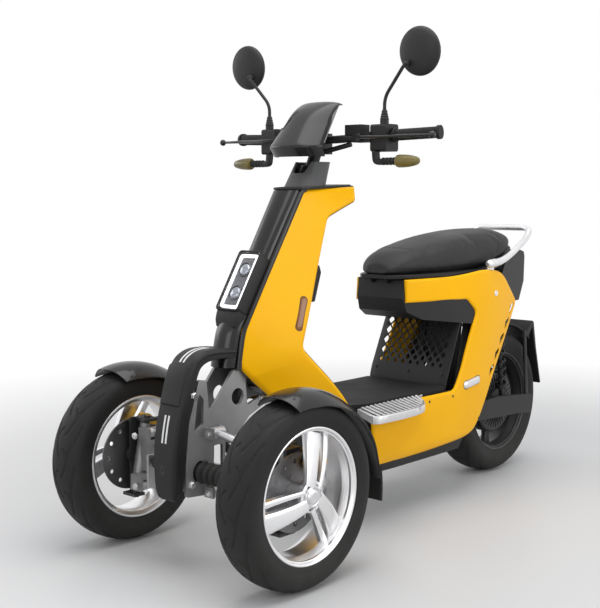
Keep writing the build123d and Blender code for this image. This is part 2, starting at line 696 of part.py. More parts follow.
def make_steering_stem():
    """Steering shaft, its bar clamp, bar braces and the arm that pushes the track rod."""
    shaft = rod(steer_at(560), steer_at(stem_high_z), stem_r)
    lower = rod(steer_at(stem_low_z), steer_at(570), stem_r - 4)
    collar = rod(steer_at(934), steer_at(950), head_tube_r - 1)
    clamp = block(-27, 27, bar_y - 22, bar_y + 22, 1068, 1126)
    whole = fuse(shaft, lower, collar, clamp)
    for side in (-1, 1):
        whole = whole + rod((side * 14, bar_y - 12, 1072), (side * 106, 459, 1094), 7)
    end = steer_at(stem_low_z)
    pitman = rod((0, end[1] - 14, end[2] + 4), (0, pitman_y, track_z + 26), 11)
    boss = rod((0, pitman_y, track_z + 8.9), (0, pitman_y, track_z + 40), 12)
    whole = fuse(whole, pitman, boss)
    keep("steering_stem", whole - bar_solid(bar_r + pin_gap))


def bar_solid(r):
    """The handlebar as a round tube of radius r."""
    side = [(62, bar_y, bar_z), (140, 463, 1112), grip_in, grip_out]
    path = [(-x, y, z) for x, y, z in reversed(side)] + side
    return bent_tube(path, [60, 50, 50, 50, 50, 60], r)


def make_handlebar():
    """Bent handlebar tube."""
    keep("handlebar", bar_solid(bar_r))


def make_grips():
    """Long rubber grips with an end flange."""
    a, b = bar_point(0.0), bar_point(1.0)
    tip = bar_point(1.03)
    grip = rod(a, tip, grip_r)
    grip = grip + rod(bar_point(0.955), bar_point(1.03), grip_r + 3)
    grip = grip + rod(a, bar_point(0.04), grip_r + 4)
    keep("grips", *both_sides(grip - rod(bar_point(-0.2), b, bar_r + pin_gap)))


def make_switch_housings():
    """Switch block, brake perch and reservoir on each side of the bar."""
    case = block(178, 232, 452, 508, 1072, 1146)
    case = fillet(case.edges().filter_by(Axis.X), 8)
    perch = block(120, 181, 446, 484, 1098, 1126)
    reservoir = block(92, 148, 448, 488, 1120, 1147)
    boot = rod((214, mirror_y, 1140), (214, mirror_y, 1158), 12)
    whole = fuse(case, perch, reservoir, boot)
    bore = bar_solid(bar_r + pin_gap)
    keep("switch_housings", *both_sides(whole - bore))


def make_brake_levers():
    """Ball-ended levers in front of the grips."""
    lever = bent_tube([(150, 438, 1112), (196, 428, 1110), (300, 440, 1111), (386, 446, 1111)],
                      [30, 60], 5.5)
    lever = lever + Pos(388, 446, 1111) * Sphere(10)
    lever = lever + rod((150, 438, 1104), (150, 438, 1120), 9)
    keep("brake_levers", *both_sides(lever - block(120, 181.3, 445.7, 484, 1090, 1130)))


def make_mirrors():
    """Round mirrors on bent rods that stand on the switch housings."""
    hx, hy, hz = mirror_head
    stem = bent_tube([(214, mirror_y, 1158.3), (214, mirror_y, 1214), (262, 478, 1276),
                      (hx - 12, hy - 6, hz - 20)], [24, 60], 5)
    boot = cone((214, mirror_y, 1158.3), (214, mirror_y, 1184), 10, 7)
    head = Pos(*mirror_head) * Rot(96, 0, 16) * Cylinder(mirror_r, 14)
    head = fillet(head.edges().filter_by(GeomType.CIRCLE), 5)
    keep("mirrors", *both_sides(fuse(stem, boot, head)))


def make_turn_signals():
    """Bullet turn signals on brackets below the switch housings."""
    y = 452.0
    arm = Plane.XZ * Polyline((190, 1072 - fit_gap), (206, 1072 - fit_gap), (206, 1056), (232, 1056),
                              (232, 1033), (190, 1033), close=True)
    bracket = Pos(0, y - 8, 0) * extrude(make_face(arm), amount=18, dir=(0, 1, 0))
    neck = rod((230, y, 1045), (266, y, 1045), 8)
    shell = Wire([Line((256, 0), (256, 13)), Spline((256, 13), (292, 17.5), (330, 15), (354, 0)),
                  Line((354, 0), (256, 0))])
    bullet = Pos(0, y, 1045) * revolve(make_face(Plane.XZ * shell), Axis.X, 360)
    keep("turn_signals", *both_sides(fuse(bracket, neck, bullet)))


cowl_low_z, cowl_high_z = 1058.0, 1216.0


def cowl_section(z, off):
    """Curved front of the instrument cowl at height z, open at the back."""
    s = (z - cowl_low_z) / (cowl_high_z - cowl_low_z)
    half = 93 - 27 * s - off
    y_rear = 350 + 122 * s
    nose = 50 - 4 * s - off
    front = ThreePointArc((-half, y_rear, z), (0, y_rear - nose, z), (half, y_rear, z))
    return make_face(Wire([front, Line((half, y_rear, z), (-half, y_rear, z))]))


def make_dash_cowl():
    """Instrument cowl: a curved shield that leans back, with its roof."""
    outer = loft([cowl_section(cowl_low_z, 0), cowl_section(cowl_high_z, 0)], ruled=True)
    inner = loft([cowl_section(cowl_low_z - 8, 4), cowl_section(cowl_high_z - 5, 4)], ruled=True)
    shift = Pos(0, 6, 0) * inner
    keep("dash_cowl", outer - inner - shift)


def make_display():
    """Display that fills the cowl's back, on a foot that stands on the handlebar."""
    room = loft([cowl_section(cowl_low_z - 8, 4 + fit_gap),
                 cowl_section(cowl_high_z - 5, 4 + fit_gap)], ruled=True)
    lean = 122 / (cowl_high_z - cowl_low_z)
    low_z, high_z = 1096.0, 1204.0
    low_y, high_y = 350 + (low_z - cowl_low_z) * lean, 350 + (high_z - cowl_low_z) * lean
    plate = side_plate([(low_y - 3, low_z), (high_y - 3, high_z), (high_y - 15, high_z),
                        (low_y - 15, low_z)], -120, 120) & room
    foot = block(-16, 16, 384, bar_y - 10, 1126 + fit_gap, 1140)
    keep("display", plate + foot)


# ---- track rod, knuckles and front wheels ---------------------------------------------------------
knuckle_top_z, knuckle_low_z = front_tyre_r + 97.5, front_tyre_r - 98.5
fender_gap = 18.0                          # tyre to the fender's crown
fender_t = 3.5
fender_half = 70.0
fender_drop = 33.0                         # crown to side edge
fender_crown_r = front_tyre_r + fender_gap
fender_under_r = fender_crown_r - fender_drop


def make_track_rod():
    """Rod that ties both knuckles' steering arms together."""
    half = kingpin_x - 2
    bar = rod((-half, track_y, track_z), (half, track_y, track_z), 7)
    for x in (-half, half):
        bar = bar + rod((x, track_y, track_z - 8), (x, track_y, track_z + 8), 11)
    bar = bar + block(-14, 14, track_y - 6, pitman_y + 12, track_z - 5, track_z + 8)
    keep("track_rod", bar)


def make_knuckle():
    """Left knuckle: kingpin, its two ears, wheel axle, steering arm and fender bracket."""
    x0, x1 = kingpin_x + 24, kingpin_x + 34
    top_z, low_z = knuckle_top_z, knuckle_low_z
    pin = rod(kingpin_at(low_z - 12), kingpin_at(top_z + 12), kingpin_r)
    ty, ly = kingpin_at(top_z)[1], kingpin_at(low_z)[1]
    web = block(x0, x1, -15, 15, low_z - 8, top_z + 8)
    top = block(kingpin_x - 26, x1, ty - 20, ty + 20, top_z, top_z + 8)
    low = block(kingpin_x - 16, x1, ly - 18, ly + 18, low_z - 8, low_z)
    cross = block(kingpin_x - 26, kingpin_x - 10, -12, 72, top_z, top_z + 8)
    axle = rod((x0, 0, front_tyre_r), (half_track + 48.5, 0, front_tyre_r), axle_r)
    boss = rod((x0, 0, front_tyre_r), (x1 + 6, 0, front_tyre_r), 22)
    tail_arm = rod((x0 + 5, 13, track_z + 20), (kingpin_x, track_y, track_z + 20), 8)
    eye = rod((kingpin_x, track_y, track_z + 8.9), (kingpin_x, track_y, track_z + 29), 11)
    whole = fuse(pin, web, top, low, cross, axle, boss, tail_arm, eye)
    carrier = block(x0, x0 + 6, 10, 66, 262, 304)
    return whole + carrier


disc_r = 98.0
disc_x0, disc_x1 = half_track - 7.5, half_track - 3.5
caliper_angle = 48.0


def make_caliper():
    """Left caliper, astride the disc behind the axle."""
    body = block(kingpin_x + 30.3, disc_x1 + 18, -34, 34, 62, 118)
    body = fillet(body.edges().filter_by(Axis.X), 9)
    slot = block(disc_x0 - 4, disc_x1 + 4, -60, 60, 0, disc_r + 5)
    turn = Pos(0, 0, front_tyre_r) * Rot(caliper_angle - 90, 0, 0)
    return turn * (body - slot)


def make_disc():
    """Left brake disc with a ring of holes."""
    disc = rod((disc_x0, 0, front_tyre_r), (disc_x1, 0, front_tyre_r), disc_r)
    disc = disc - rod((disc_x0 - 1, 0, front_tyre_r), (disc_x1 + 1, 0, front_tyre_r), 20)
    for i in range(12):
        angle = radians(30 * i)
        y, z = 78 * cos(angle), front_tyre_r + 78 * sin(angle)
        disc = disc - rod((disc_x0 - 1, y, z), (disc_x1 + 1, y, z), 6)
    return disc


def wheel_ring(points, x_mid, z_mid, y_mid=0.0):
    """A ring turned about a wheel's axle from an outline of (x, radius) points."""
    flat = make_face(Plane.XZ * Polyline(*points, close=True))
    return Pos(x_mid, y_mid, z_mid) * revolve(flat, Axis.X, 360)


def rim_ring(half, x_mid, z_mid, y_mid=0.0):
    """A wheel rim's barrel with its two lips."""
    points = [(-half, rim_lip_r), (-half + 5, rim_lip_r), (-half + 8, rim_seat_r),
              (half - 8, rim_seat_r), (half - 5, rim_lip_r), (half, rim_lip_r),
              (half, rim_lip_r - 6), (half - 5, rim_seat_r - 8), (-half + 5, rim_seat_r - 8),
              (-half, rim_lip_r - 6)]
    return wheel_ring(points, x_mid, z_mid, y_mid)


def tyre_ring(half_width, radius, rim_half, x_mid, z_mid, y_mid=0.0):
    """A tyre: round crown, bulged walls, beads on the rim."""
    bead_x, lip_x = rim_half - 8 - fit_gap, rim_half + 1
    shoulder_r = radius - 24
    belly_r = rim_lip_r + 0.42 * (radius - rim_lip_r)
    right = [Line((bead_x, rim_seat_r + fit_gap), (bead_x + 2.5, rim_lip_r + fit_gap)),
             Line((bead_x + 2.5, rim_lip_r + fit_gap), (lip_x - 2, rim_lip_r + 1)),
             ThreePointArc((lip_x - 2, rim_lip_r + 1), (half_width - 1, belly_r),
                           (half_width - 4, shoulder_r)),
             ThreePointArc((half_width - 4, shoulder_r), (0, radius),
                           (-half_width + 4, shoulder_r)),
             ThreePointArc((-half_width + 4, shoulder_r), (-half_width + 1, belly_r),
                           (-lip_x + 2, rim_lip_r + 1)),
             Line((-lip_x + 2, rim_lip_r + 1), (-bead_x - 2.5, rim_lip_r + fit_gap)),
             Line((-bead_x - 2.5, rim_lip_r + fit_gap), (-bead_x, rim_seat_r + fit_gap)),
             Line((-bead_x, rim_seat_r + fit_gap), (bead_x, rim_seat_r + fit_gap))]
    flat = make_face(Plane.XZ * Wire(right))
    return Pos(x_mid, y_mid, z_mid) * revolve(flat, Axis.X, 360)


front_rim_half = 52.0
spoke_phase = 20.0
spoke_count = 3


def make_front_rim():
    """Left front rim: barrel, hub with its cap and three split spokes."""
    rim = rim_ring(front_rim_half, half_track, front_tyre_r)
    face = half_track + 54.5
    hub = rod((disc_x1 + fit_gap, 0, front_tyre_r), (face, 0, front_tyre_r), 34)
    cap = cone((face, 0, front_tyre_r), (face + 8, 0, front_tyre_r), 30, 16)
    bore = rod((disc_x1 - 1, 0, front_tyre_r), (face - 3, 0, front_tyre_r), axle_r + pin_gap)
    whole = fuse(rim, hub, cap)
    for i in range(spoke_count):
        for lean in (-1, 1):
            blade = extrude(make_face(Plane.YZ * Polyline((lean * 4, 22), (lean * 20, 22),
                                                         (lean * 34, rim_seat_r - 5),
                                                         (lean * 14, rim_seat_r - 5),
                                                         close=True)), amount=14, dir=(1, 0, 0))
            turn = Rot(spoke_phase + i * 360 / spoke_count, 0, 0)
            whole = whole + Pos(half_track + 24.5, 0, front_tyre_r) * turn * blade
    return whole - bore


def make_front_fender():
    """Left front fender: crowned strip round the tyre, narrow rear part and mud flap."""
    x0, x1 = half_track - fender_half, half_track + fender_half
    low, high = fender_under_r, fender_crown_r
    crown = ThreePointArc((x0, 0, low + fender_t), (half_track, 0, high + fender_t),
                          (x1, 0, low + fender_t))
    under = ThreePointArc((x1, 0, low), (half_track, 0, high), (x0, 0, low))
    section = make_face(Wire([crown, Line((x1, 0, low + fender_t), (x1, 0, low)), under,
                              Line((x0, 0, low), (x0, 0, low + fender_t))]))
    front, back = 15.0, 58.0
    arch = revolve(Rot(front, 0, 0) * section, Axis.X, -(front + back))
    arch = Pos(0, 0, front_tyre_r) * arch
    turn = radians(back)
    start_y, start_z = high * sin(turn), front_tyre_r + high * cos(turn)
    bend = [(start_y, start_z), (start_y + 51, start_z - 110), (start_y + 60, start_z - 197)]
    flap = side_plate([(start_y - 6, start_z + 6)] + [(y + 4, z) for y, z in bend]
                      + bend[:0:-1] + [(start_y - 12, start_z - 4)],
                      half_track - 50, half_track + 50)
    whole = arch + flap
    foot_z = knuckle_top_z + 8 + fit_gap
    for y in (0, 60):
        stay_z = front_tyre_r + sqrt(fender_under_r ** 2 - (y + 12) ** 2) + fender_t
        stay = block(x0 + 1, x0 + 5, y - 12, y + 12, foot_z, stay_z)
        foot = block(kingpin_x - 26, x0 + 5, y - 12, y + 12, foot_z, foot_z + 5)
        whole = fuse(whole, stay, foot)
    return whole


def make_front_corner():
    """Everything on one front corner, and its mirror image."""
    pieces = {"knuckle": make_knuckle(), "caliper": make_caliper(), "brake_disc": make_disc(),
              "front_rim": make_front_rim(), "front_fender": make_front_fender(),
              "front_tyre": tyre_ring(front_tyre_w / 2, front_tyre_r, front_rim_half,
                                      half_track, front_tyre_r)}
    for name, left in pieces.items():
        keep(name + "_left", left)
        keep(name + "_right", mirror(left, about=Plane.YZ))


rear_rim_half = 58.0


def make_rear_wheel():
    """Rear wheel: hub motor, six arms, barrel and tyre."""
    rim = rim_ring(rear_rim_half, 0, axle_z, wheelbase)
    motor = rod((-44, wheelbase, axle_z), (44, wheelbase, axle_z), 112)
    whole = fuse(rim, motor)
    for i in range(6):
        arm = Pos(0, wheelbase, axle_z) * Rot(i * 60, 0, 0) * block(-9, 9, -13, 13, 100,
                                                                    rim_seat_r - 4)
        whole = whole + arm
    whole = whole - rod((-60, wheelbase, axle_z), (60, wheelbase, axle_z), axle_r + pin_gap)
    keep("rear_rim", whole)
    keep("rear_tyre", tyre_ring(rear_tyre_w / 2, rear_tyre_r, rear_rim_half, 0, axle_z,
                                wheelbase))


# ---- build and write --------------------------------------------------------------------------
for make in (make_main_frame, make_battery, make_front_subframe, make_tilt_arms,
             make_tilt_spring, make_uprights, make_column_cover, make_headlight,
             make_leg_shields, make_column_rear, make_neck_cover, make_front_shield,
             make_body_sides, make_floor_mat, make_belly_pan, make_seat_front_panel,
             make_foot_plates, make_pillion_pegs, make_underseat_bin, make_seat, make_grab_rail,
             make_tail, make_swingarm, make_rear_shocks, make_rear_fender, make_steering_stem,
             make_handlebar, make_grips, make_switch_housings, make_brake_levers, make_mirrors,
             make_turn_signals, make_dash_cowl, make_display, make_track_rod,
             make_front_corner, make_rear_wheel):
    make()

for name, solids in parts.items():
    placed = [Pos(0, -mid_y, 0) * solid for solid in solids]
    shape = placed[0] if len(placed) == 1 else Compound(children=placed)
    export_step(shape, "parts/" + name + ".step")
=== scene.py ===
import json
import math

import bmesh
import bpy
import numpy as np
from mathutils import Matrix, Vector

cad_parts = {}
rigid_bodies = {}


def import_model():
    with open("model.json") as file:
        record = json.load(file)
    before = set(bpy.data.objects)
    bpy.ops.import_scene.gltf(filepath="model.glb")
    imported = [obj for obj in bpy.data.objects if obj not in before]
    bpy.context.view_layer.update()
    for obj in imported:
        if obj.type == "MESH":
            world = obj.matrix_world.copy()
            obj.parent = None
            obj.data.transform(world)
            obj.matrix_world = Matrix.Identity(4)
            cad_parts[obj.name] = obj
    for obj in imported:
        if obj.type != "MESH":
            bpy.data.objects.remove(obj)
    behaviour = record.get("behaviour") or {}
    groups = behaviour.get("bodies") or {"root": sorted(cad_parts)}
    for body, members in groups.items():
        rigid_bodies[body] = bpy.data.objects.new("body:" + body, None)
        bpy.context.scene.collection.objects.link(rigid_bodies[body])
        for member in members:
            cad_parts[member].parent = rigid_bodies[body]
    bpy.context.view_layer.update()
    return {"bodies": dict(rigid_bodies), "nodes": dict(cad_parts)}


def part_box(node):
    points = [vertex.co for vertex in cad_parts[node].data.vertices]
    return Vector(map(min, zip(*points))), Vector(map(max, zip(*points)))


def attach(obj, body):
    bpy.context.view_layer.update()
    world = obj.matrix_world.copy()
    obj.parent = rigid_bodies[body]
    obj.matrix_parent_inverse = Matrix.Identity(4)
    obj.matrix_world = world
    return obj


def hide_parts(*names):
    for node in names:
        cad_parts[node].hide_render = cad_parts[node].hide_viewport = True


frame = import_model()
nodes = frame["nodes"]

# ---- The viewpoint ----
# The camera stands ahead of the vehicle on the rider's left, about chest high. Lengths are
# in metres from the middle of the front axle: X to the rider's left, Y to the rear, Z up.
axle_low, axle_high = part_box("front_tyre_left")
axle_y = (axle_low.y + axle_high.y) / 2
camera_x, camera_ahead, camera_z = 2.108, 1.993, 0.970
camera_turn, camera_dip = math.radians(41.8), math.radians(5.8)


def placed(name, data):
    """A new object that holds the data, linked into the scene."""
    thing = bpy.data.objects.new(name, data)
    bpy.context.scene.collection.objects.link(thing)
    return thing


camera = placed("camera", bpy.data.cameras.new("camera"))
camera.data.lens = 66.9
camera.data.clip_end = 60
camera.location = (camera_x, axle_y - camera_ahead, camera_z)
camera.rotation_euler = (math.pi / 2 - camera_dip, 0, camera_turn)
bpy.context.scene.camera = camera

# ---- The studio ----
# A pale floor, its colour painted grey near the object as painted shade, and a pale surround,
# with large soft lamps above, ahead and on both sides.
# The view and glass see a near-white surround; the object's own light stays plain.
bpy.context.scene.view_settings.view_transform = "Standard"


def add_node(tree, kind, sockets=None, **settings):
    """A shader node with its settings and the values of its sockets, by name or number."""
    node = tree.nodes.new(kind)
    for key, value in settings.items():
        setattr(node, key, value)
    for key, value in (sockets or {}).items():
        node.inputs[key].default_value = value
    return node


def link(tree, source, output, target, entry):
    """Join an output socket to an input socket, each by its name or number."""
    tree.links.new(source.outputs[output], target.inputs[entry])


def seen_rays(tree):
    """A node that is 1 for what the view, a gloss or a glass sees, and 0 for the light."""
    rays = add_node(tree, "ShaderNodeLightPath")
    direct = add_node(tree, "ShaderNodeMath", operation="MAXIMUM")
    either = add_node(tree, "ShaderNodeMath", operation="MAXIMUM")
    link(tree, rays, "Is Camera Ray", direct, 0)
    link(tree, rays, "Is Glossy Ray", direct, 1)
    link(tree, direct, 0, either, 0)
    link(tree, rays, "Is Transmission Ray", either, 1)
    return either


surround = bpy.data.worlds.new("surround")
bpy.context.scene.world = surround
surround.use_nodes = True
sky = surround.node_tree
sky.nodes.clear()
seen = add_node(sky, "ShaderNodeBackground", {"Color": (1.0, 1.0, 1.0, 1), "Strength": 1.0})
cast = add_node(sky, "ShaderNodeBackground", {"Color": (0.96, 0.98, 1.0, 1), "Strength": 0.45})
swap = add_node(sky, "ShaderNodeMixShader")
sky_out = add_node(sky, "ShaderNodeOutputWorld")
link(sky, seen_rays(sky), 0, swap, 0)
link(sky, cast, 0, swap, 1)
link(sky, seen, 0, swap, 2)
link(sky, swap, 0, sky_out, 0)


def lamp(name, place, aim, size, power):
    """A soft rectangular lamp at a place, tilted and turned so that it points at aim."""
    light = bpy.data.lights.new(name, "AREA")
    light.shape, light.size, light.size_y, light.energy = "RECTANGLE", *size, power
    holder = placed(name, light)
    way = np.subtract(aim, place)
    way = way / np.linalg.norm(way)
    holder.location = np.add(place, (0, axle_y, 0))
    holder.rotation_euler = (math.acos(-way[2]), 0, math.atan2(-way[0], way[1]))


lamp("top_lamp", (0.5, 0.4, 3.2), (0.0, 0.7, 0.4), (3.0, 3.0), 78)
lamp("front_lamp", (0.9, -3.4, 1.8), (0.0, 0.3, 0.6), (2.2, 1.6), 28)
lamp("left_lamp", (3.3, 1.5, 1.6), (0.0, 0.7, 0.5), (2.4, 1.4), 36)
lamp("right_lamp", (-3.3, -0.6, 1.8), (0.0, 0.5, 0.6), (2.0, 1.6), 22)

floor_half = 14.0
floor_mesh = bpy.data.meshes.new("floor")
floor_mesh.from_pydata([(-floor_half, -floor_half, 0), (floor_half, -floor_half, 0),
                        (floor_half, floor_half, 0), (-floor_half, floor_half, 0)],
                       [], [(0, 1, 2, 3)])
floor = placed("floor", floor_mesh)
floor_coat = bpy.data.materials.new("floor")
floor_coat.use_nodes = True
tree = floor_coat.node_tree
base = tree.nodes["Principled BSDF"]
base.inputs["Roughness"].default_value = 0.5
base.inputs["Specular IOR Level"].default_value = 0.2
place = add_node(tree, "ShaderNodeTexCoord")
# Painted shade on the floor: its colour is grey within 1.6 m of the object's middle and grades
# to white by 4.2 m. From 1.1 m to 2.9 m the view and gloss see it fade into a plain white glow.
far = add_node(tree, "ShaderNodeVectorMath", {1: (0.0, 0.25, 0.0)}, operation="DISTANCE")
fade = add_node(tree, "ShaderNodeMapRange", {"From Min": 1.6, "From Max": 4.2})
floor_painted_shade = add_node(tree, "ShaderNodeMixRGB", {1: (0.60, 0.60, 0.605, 1), 2: (1.0, 1.0, 1.0, 1)})
link(tree, place, "Object", far, 0)
link(tree, far, "Value", fade, "Value")
link(tree, fade, 0, floor_painted_shade, 0)
link(tree, floor_painted_shade, 0, base, "Base Color")
white = add_node(tree, "ShaderNodeEmission", {"Color": (1, 1, 1, 1), "Strength": 1.0})
edge = add_node(tree, "ShaderNodeMapRange", {"From Min": 1.1, "From Max": 2.9})
only_seen = add_node(tree, "ShaderNodeMath", operation="MULTIPLY")
over = add_node(tree, "ShaderNodeMixShader")
link(tree, far, "Value", edge, "Value")
link(tree, edge, 0, only_seen, 0)
link(tree, seen_rays(tree), 0, only_seen, 1)
link(tree, only_seen, 0, over, 0)
link(tree, base, 0, over, 1)
link(tree, white, 0, over, 2)
link(tree, over, 0, tree.nodes["Material Output"], 0)
floor_mesh.materials.append(floor_coat)

# ---- Finishes ----
# Three effects that every finish shares: a faint unevenness as of handling, a moulded or
# cast grain, and dust that gathers low down. Each is a node group with named values.


def new_group(name, entries, exits):
    """An empty node group with named number inputs and named outputs."""
    group = bpy.data.node_groups.new(name, "ShaderNodeTree")
    for entry, value in entries.items():
        socket = group.interface.new_socket(name=entry, in_out="INPUT",
                                            socket_type="NodeSocketFloat")
        socket.default_value = value
    for exit_name in exits:
        group.interface.new_socket(name=exit_name, in_out="OUTPUT",
                                   socket_type="NodeSocketFloat")
    return (group, add_node(group, "NodeGroupInput"), add_node(group, "NodeGroupOutput"),
            add_node(group, "ShaderNodeTexCoord"))


handling, entry, leave, coords = new_group("handling", {"Scale": 6.0}, ["Mask"])
cloud = add_node(handling, "ShaderNodeTexNoise", {"Detail": 4.0, "Roughness": 0.6})
spread = add_node(handling, "ShaderNodeMapRange", {"From Min": 0.35, "From Max": 0.7})
link(handling, coords, "Object", cloud, "Vector")
link(handling, entry, "Scale", cloud, "Scale")
link(handling, cloud, 0, spread, 0)
link(handling, spread, 0, leave, "Mask")

grain, entry, leave, coords = new_group("grain", {"Scale": 700.0, "Cells": 0.5}, ["Height"])
cells = add_node(grain, "ShaderNodeTexVoronoi", feature="SMOOTH_F1")
fuzz = add_node(grain, "ShaderNodeTexNoise", {"Detail": 3.0})
both = add_node(grain, "ShaderNodeMix", data_type="FLOAT")
for texture in (cells, fuzz):
    link(grain, coords, "Object", texture, "Vector")
    link(grain, entry, "Scale", texture, "Scale")
link(grain, entry, "Cells", both, 0)
link(grain, fuzz, 0, both, 2)
link(grain, cells, "Distance", both, 3)
link(grain, both, 0, leave, "Height")

dust, entry, leave, coords = new_group("dust", {"Top": 0.35, "Amount": 0.3}, ["Mask"])
parts_of = add_node(dust, "ShaderNodeSeparateXYZ")
depth = add_node(dust, "ShaderNodeMapRange", {"From Min": 0.0, "To Min": 1.0, "To Max": 0.0})
specks = add_node(dust, "ShaderNodeTexNoise", {"Scale": 22.0, "Detail": 8.0, "Roughness": 0.7})
patchy = add_node(dust, "ShaderNodeMath", operation="MULTIPLY")
amount = add_node(dust, "ShaderNodeMath", operation="MULTIPLY")
link(dust, coords, "Object", parts_of, 0)
link(dust, parts_of, "Z", depth, "Value")
link(dust, entry, "Top", depth, "From Max")
link(dust, coords, "Object", specks, "Vector")
link(dust, depth, 0, patchy, 0)
link(dust, specks, 0, patchy, 1)
link(dust, patchy, 0, amount, 0)
link(dust, entry, "Amount", amount, 1)
link(dust, amount, 0, leave, "Mask")


def group_node(tree, group, **values):
    """One use of a node group, with its own values."""
    node = add_node(tree, "ShaderNodeGroup")
    node.node_tree = group
    for key, value in values.items():
        node.inputs[key].default_value = value
    return node


def finish(name, colour, rough, metal=0.0, coat=0.0, uneven=0.08, grain_size=0.0012,
           grain_depth=0.00004, cell_share=0.3, dusty=0.0, tint=None, **sockets):
    """A material: colour, and roughness that varies by uneven where hands or rain have been,
    a grain of a given size and depth in metres, and some dust on what is near the floor."""
    material = bpy.data.materials.new(name)
    material.use_nodes = True
    tree = material.node_tree
    shader = tree.nodes["Principled BSDF"]
    shader.inputs["Metallic"].default_value = metal
    shader.inputs["Coat Weight"].default_value = coat
    shader.inputs["Coat Roughness"].default_value = 0.04
    shader.inputs["Specular IOR Level"].default_value = 0.3
    for key, value in sockets.items():
        shader.inputs[key.replace("_", " ")].default_value = value
    touched = group_node(tree, handling)
    tint = tint or tuple(min(1.0, c * 1.15 + 0.002) for c in colour)
    shade = add_node(tree, "ShaderNodeMixRGB", {1: (*colour, 1), 2: (*tint, 1)})
    soil = group_node(tree, dust, Amount=dusty)
    soiled = add_node(tree, "ShaderNodeMixRGB", {2: (0.20, 0.19, 0.17, 1)})
    gloss = add_node(tree, "ShaderNodeMapRange", {"To Min": rough,
                                                  "To Max": min(1.0, rough + uneven)})
    skin = group_node(tree, grain, Scale=1.0 / grain_size, Cells=cell_share)
    bump = add_node(tree, "ShaderNodeBump", {"Distance": grain_depth, "Strength": 1.0})
    link(tree, touched, 0, shade, 0)
    link(tree, soil, 0, soiled, 0)
    link(tree, shade, 0, soiled, 1)
    link(tree, soiled, 0, shader, "Base Color")
    link(tree, touched, 0, gloss, "Value")
    link(tree, gloss, 0, shader, "Roughness")
    link(tree, skin, 0, bump, "Height")
    link(tree, bump, 0, shader, "Normal")
    return material


def repaint(material, *names):
    """Give CAD nodes their finish."""
    for name in names:
        data = nodes[name].data
        data.materials.clear()
        data.materials.append(material)


gloss_black = finish("gloss_black", (0.007, 0.007, 0.0075), 0.24, coat=0.22, uneven=0.06,
                     grain_size=0.004, grain_depth=0.00001, Specular_IOR_Level=0.28)
satin_black = finish("satin_black", (0.013, 0.013, 0.0135), 0.42, uneven=0.12,
                     grain_size=0.0011, grain_depth=0.00006, cell_share=0.6,
                     Specular_IOR_Level=0.25)
yellow_paint = finish("yellow_paint", (0.90, 0.445, 0.0006), 0.34, coat=0.03, uneven=0.06,
                      grain_size=0.005, grain_depth=0.00001, dusty=0.08,
                      tint=(0.93, 0.475, 0.0008), Specular_IOR_Level=0.12)
frame_black = finish("frame_black", (0.010, 0.010, 0.0105), 0.38, uneven=0.15, dusty=0.2,
                     Specular_IOR_Level=0.3)

# ---- Frame, battery, steering shaft and front axle ----
# Welded steel tube, powder coated black; the front axle's castings and arms, left grey; black
# knuckles, and bright steel for rod and discs. They keep their CAD shapes.
battery_case = finish("battery_case", (0.05, 0.05, 0.052), 0.5)
cast_grey = finish("cast_grey", (0.25, 0.25, 0.255), 0.44, metal=0.7, uneven=0.16,
                   grain_size=0.0016, grain_depth=0.00022, cell_share=0.2, dusty=0.35,
                   tint=(0.34, 0.34, 0.34))
bare_steel = finish("bare_steel", (0.50, 0.50, 0.51), 0.26, metal=1.0, uneven=0.14,
                    grain_size=0.0008, grain_depth=0.00002, dusty=0.2)
repaint(frame_black, "main_frame", "steering_stem", "handlebar")
repaint(battery_case, "battery")
arm_alloy = finish("arm_alloy", (0.50, 0.50, 0.51), 0.36, metal=0.85, uneven=0.14,
                   grain_size=0.0014, grain_depth=0.00012, dusty=0.2)
knuckle_black = finish("knuckle_black", (0.022, 0.022, 0.023), 0.4, uneven=0.15,
                       grain_size=0.0015, grain_depth=0.00012, dusty=0.2)
disc_steel = finish("disc_steel", (0.16, 0.16, 0.165), 0.34, metal=0.9, uneven=0.14,
                    grain_size=0.0008, grain_depth=0.00002, dusty=0.2)
repaint(cast_grey, "front_subframe", "uprights")
repaint(arm_alloy, "tilt_arms")
repaint(knuckle_black, "knuckle_left", "knuckle_right")
repaint(bare_steel, "track_rod")
repaint(disc_steel, "brake_disc_left", "brake_disc_right")


def joined(*grids):
    """Vertices and faces of point grids: each four neighbours of a grid make one face."""
    points, faces, start = [], [], 0
    for grid in grids:
        rows, columns = grid.shape[:2]
        corner = start + np.arange(rows * columns).reshape(rows, columns)
        faces.append(np.stack([corner[:-1, :-1], corner[1:, :-1], corner[1:, 1:],
                               corner[:-1, 1:]], -1).reshape(-1, 4))
        points.append(grid.reshape(-1, 3))
        start += rows * columns
    return np.concatenate(points), np.concatenate(faces)


def welded_mesh(name, grids, mirrored):
    """A mesh of point grids whose seams and poles are welded and whose faces point outwards."""
    points, faces = joined(*grids)
    points = (points + [0, axle_y, 0]) * [-1 if mirrored else 1, 1, 1]
    mesh = bpy.data.meshes.new(name)
    mesh.from_pydata(points, [], faces)
    welded = bmesh.new()
    welded.from_mesh(mesh)
    bmesh.ops.remove_doubles(welded, verts=welded.verts, dist=2e-6)
    bmesh.ops.dissolve_degenerate(welded, edges=welded.edges, dist=1e-6)
    bmesh.ops.recalc_face_normals(welded, faces=welded.faces)
    welded.to_mesh(mesh)
    welded.free()
    return mesh


def settled(thing):
    """The mesh that an object's modifiers leave, and the object taken away."""
    bpy.context.view_layer.update()
    whole = thing.evaluated_get(bpy.context.evaluated_depsgraph_get())
    mesh = bpy.data.meshes.new_from_object(whole)
    bpy.data.objects.remove(thing)
    return mesh


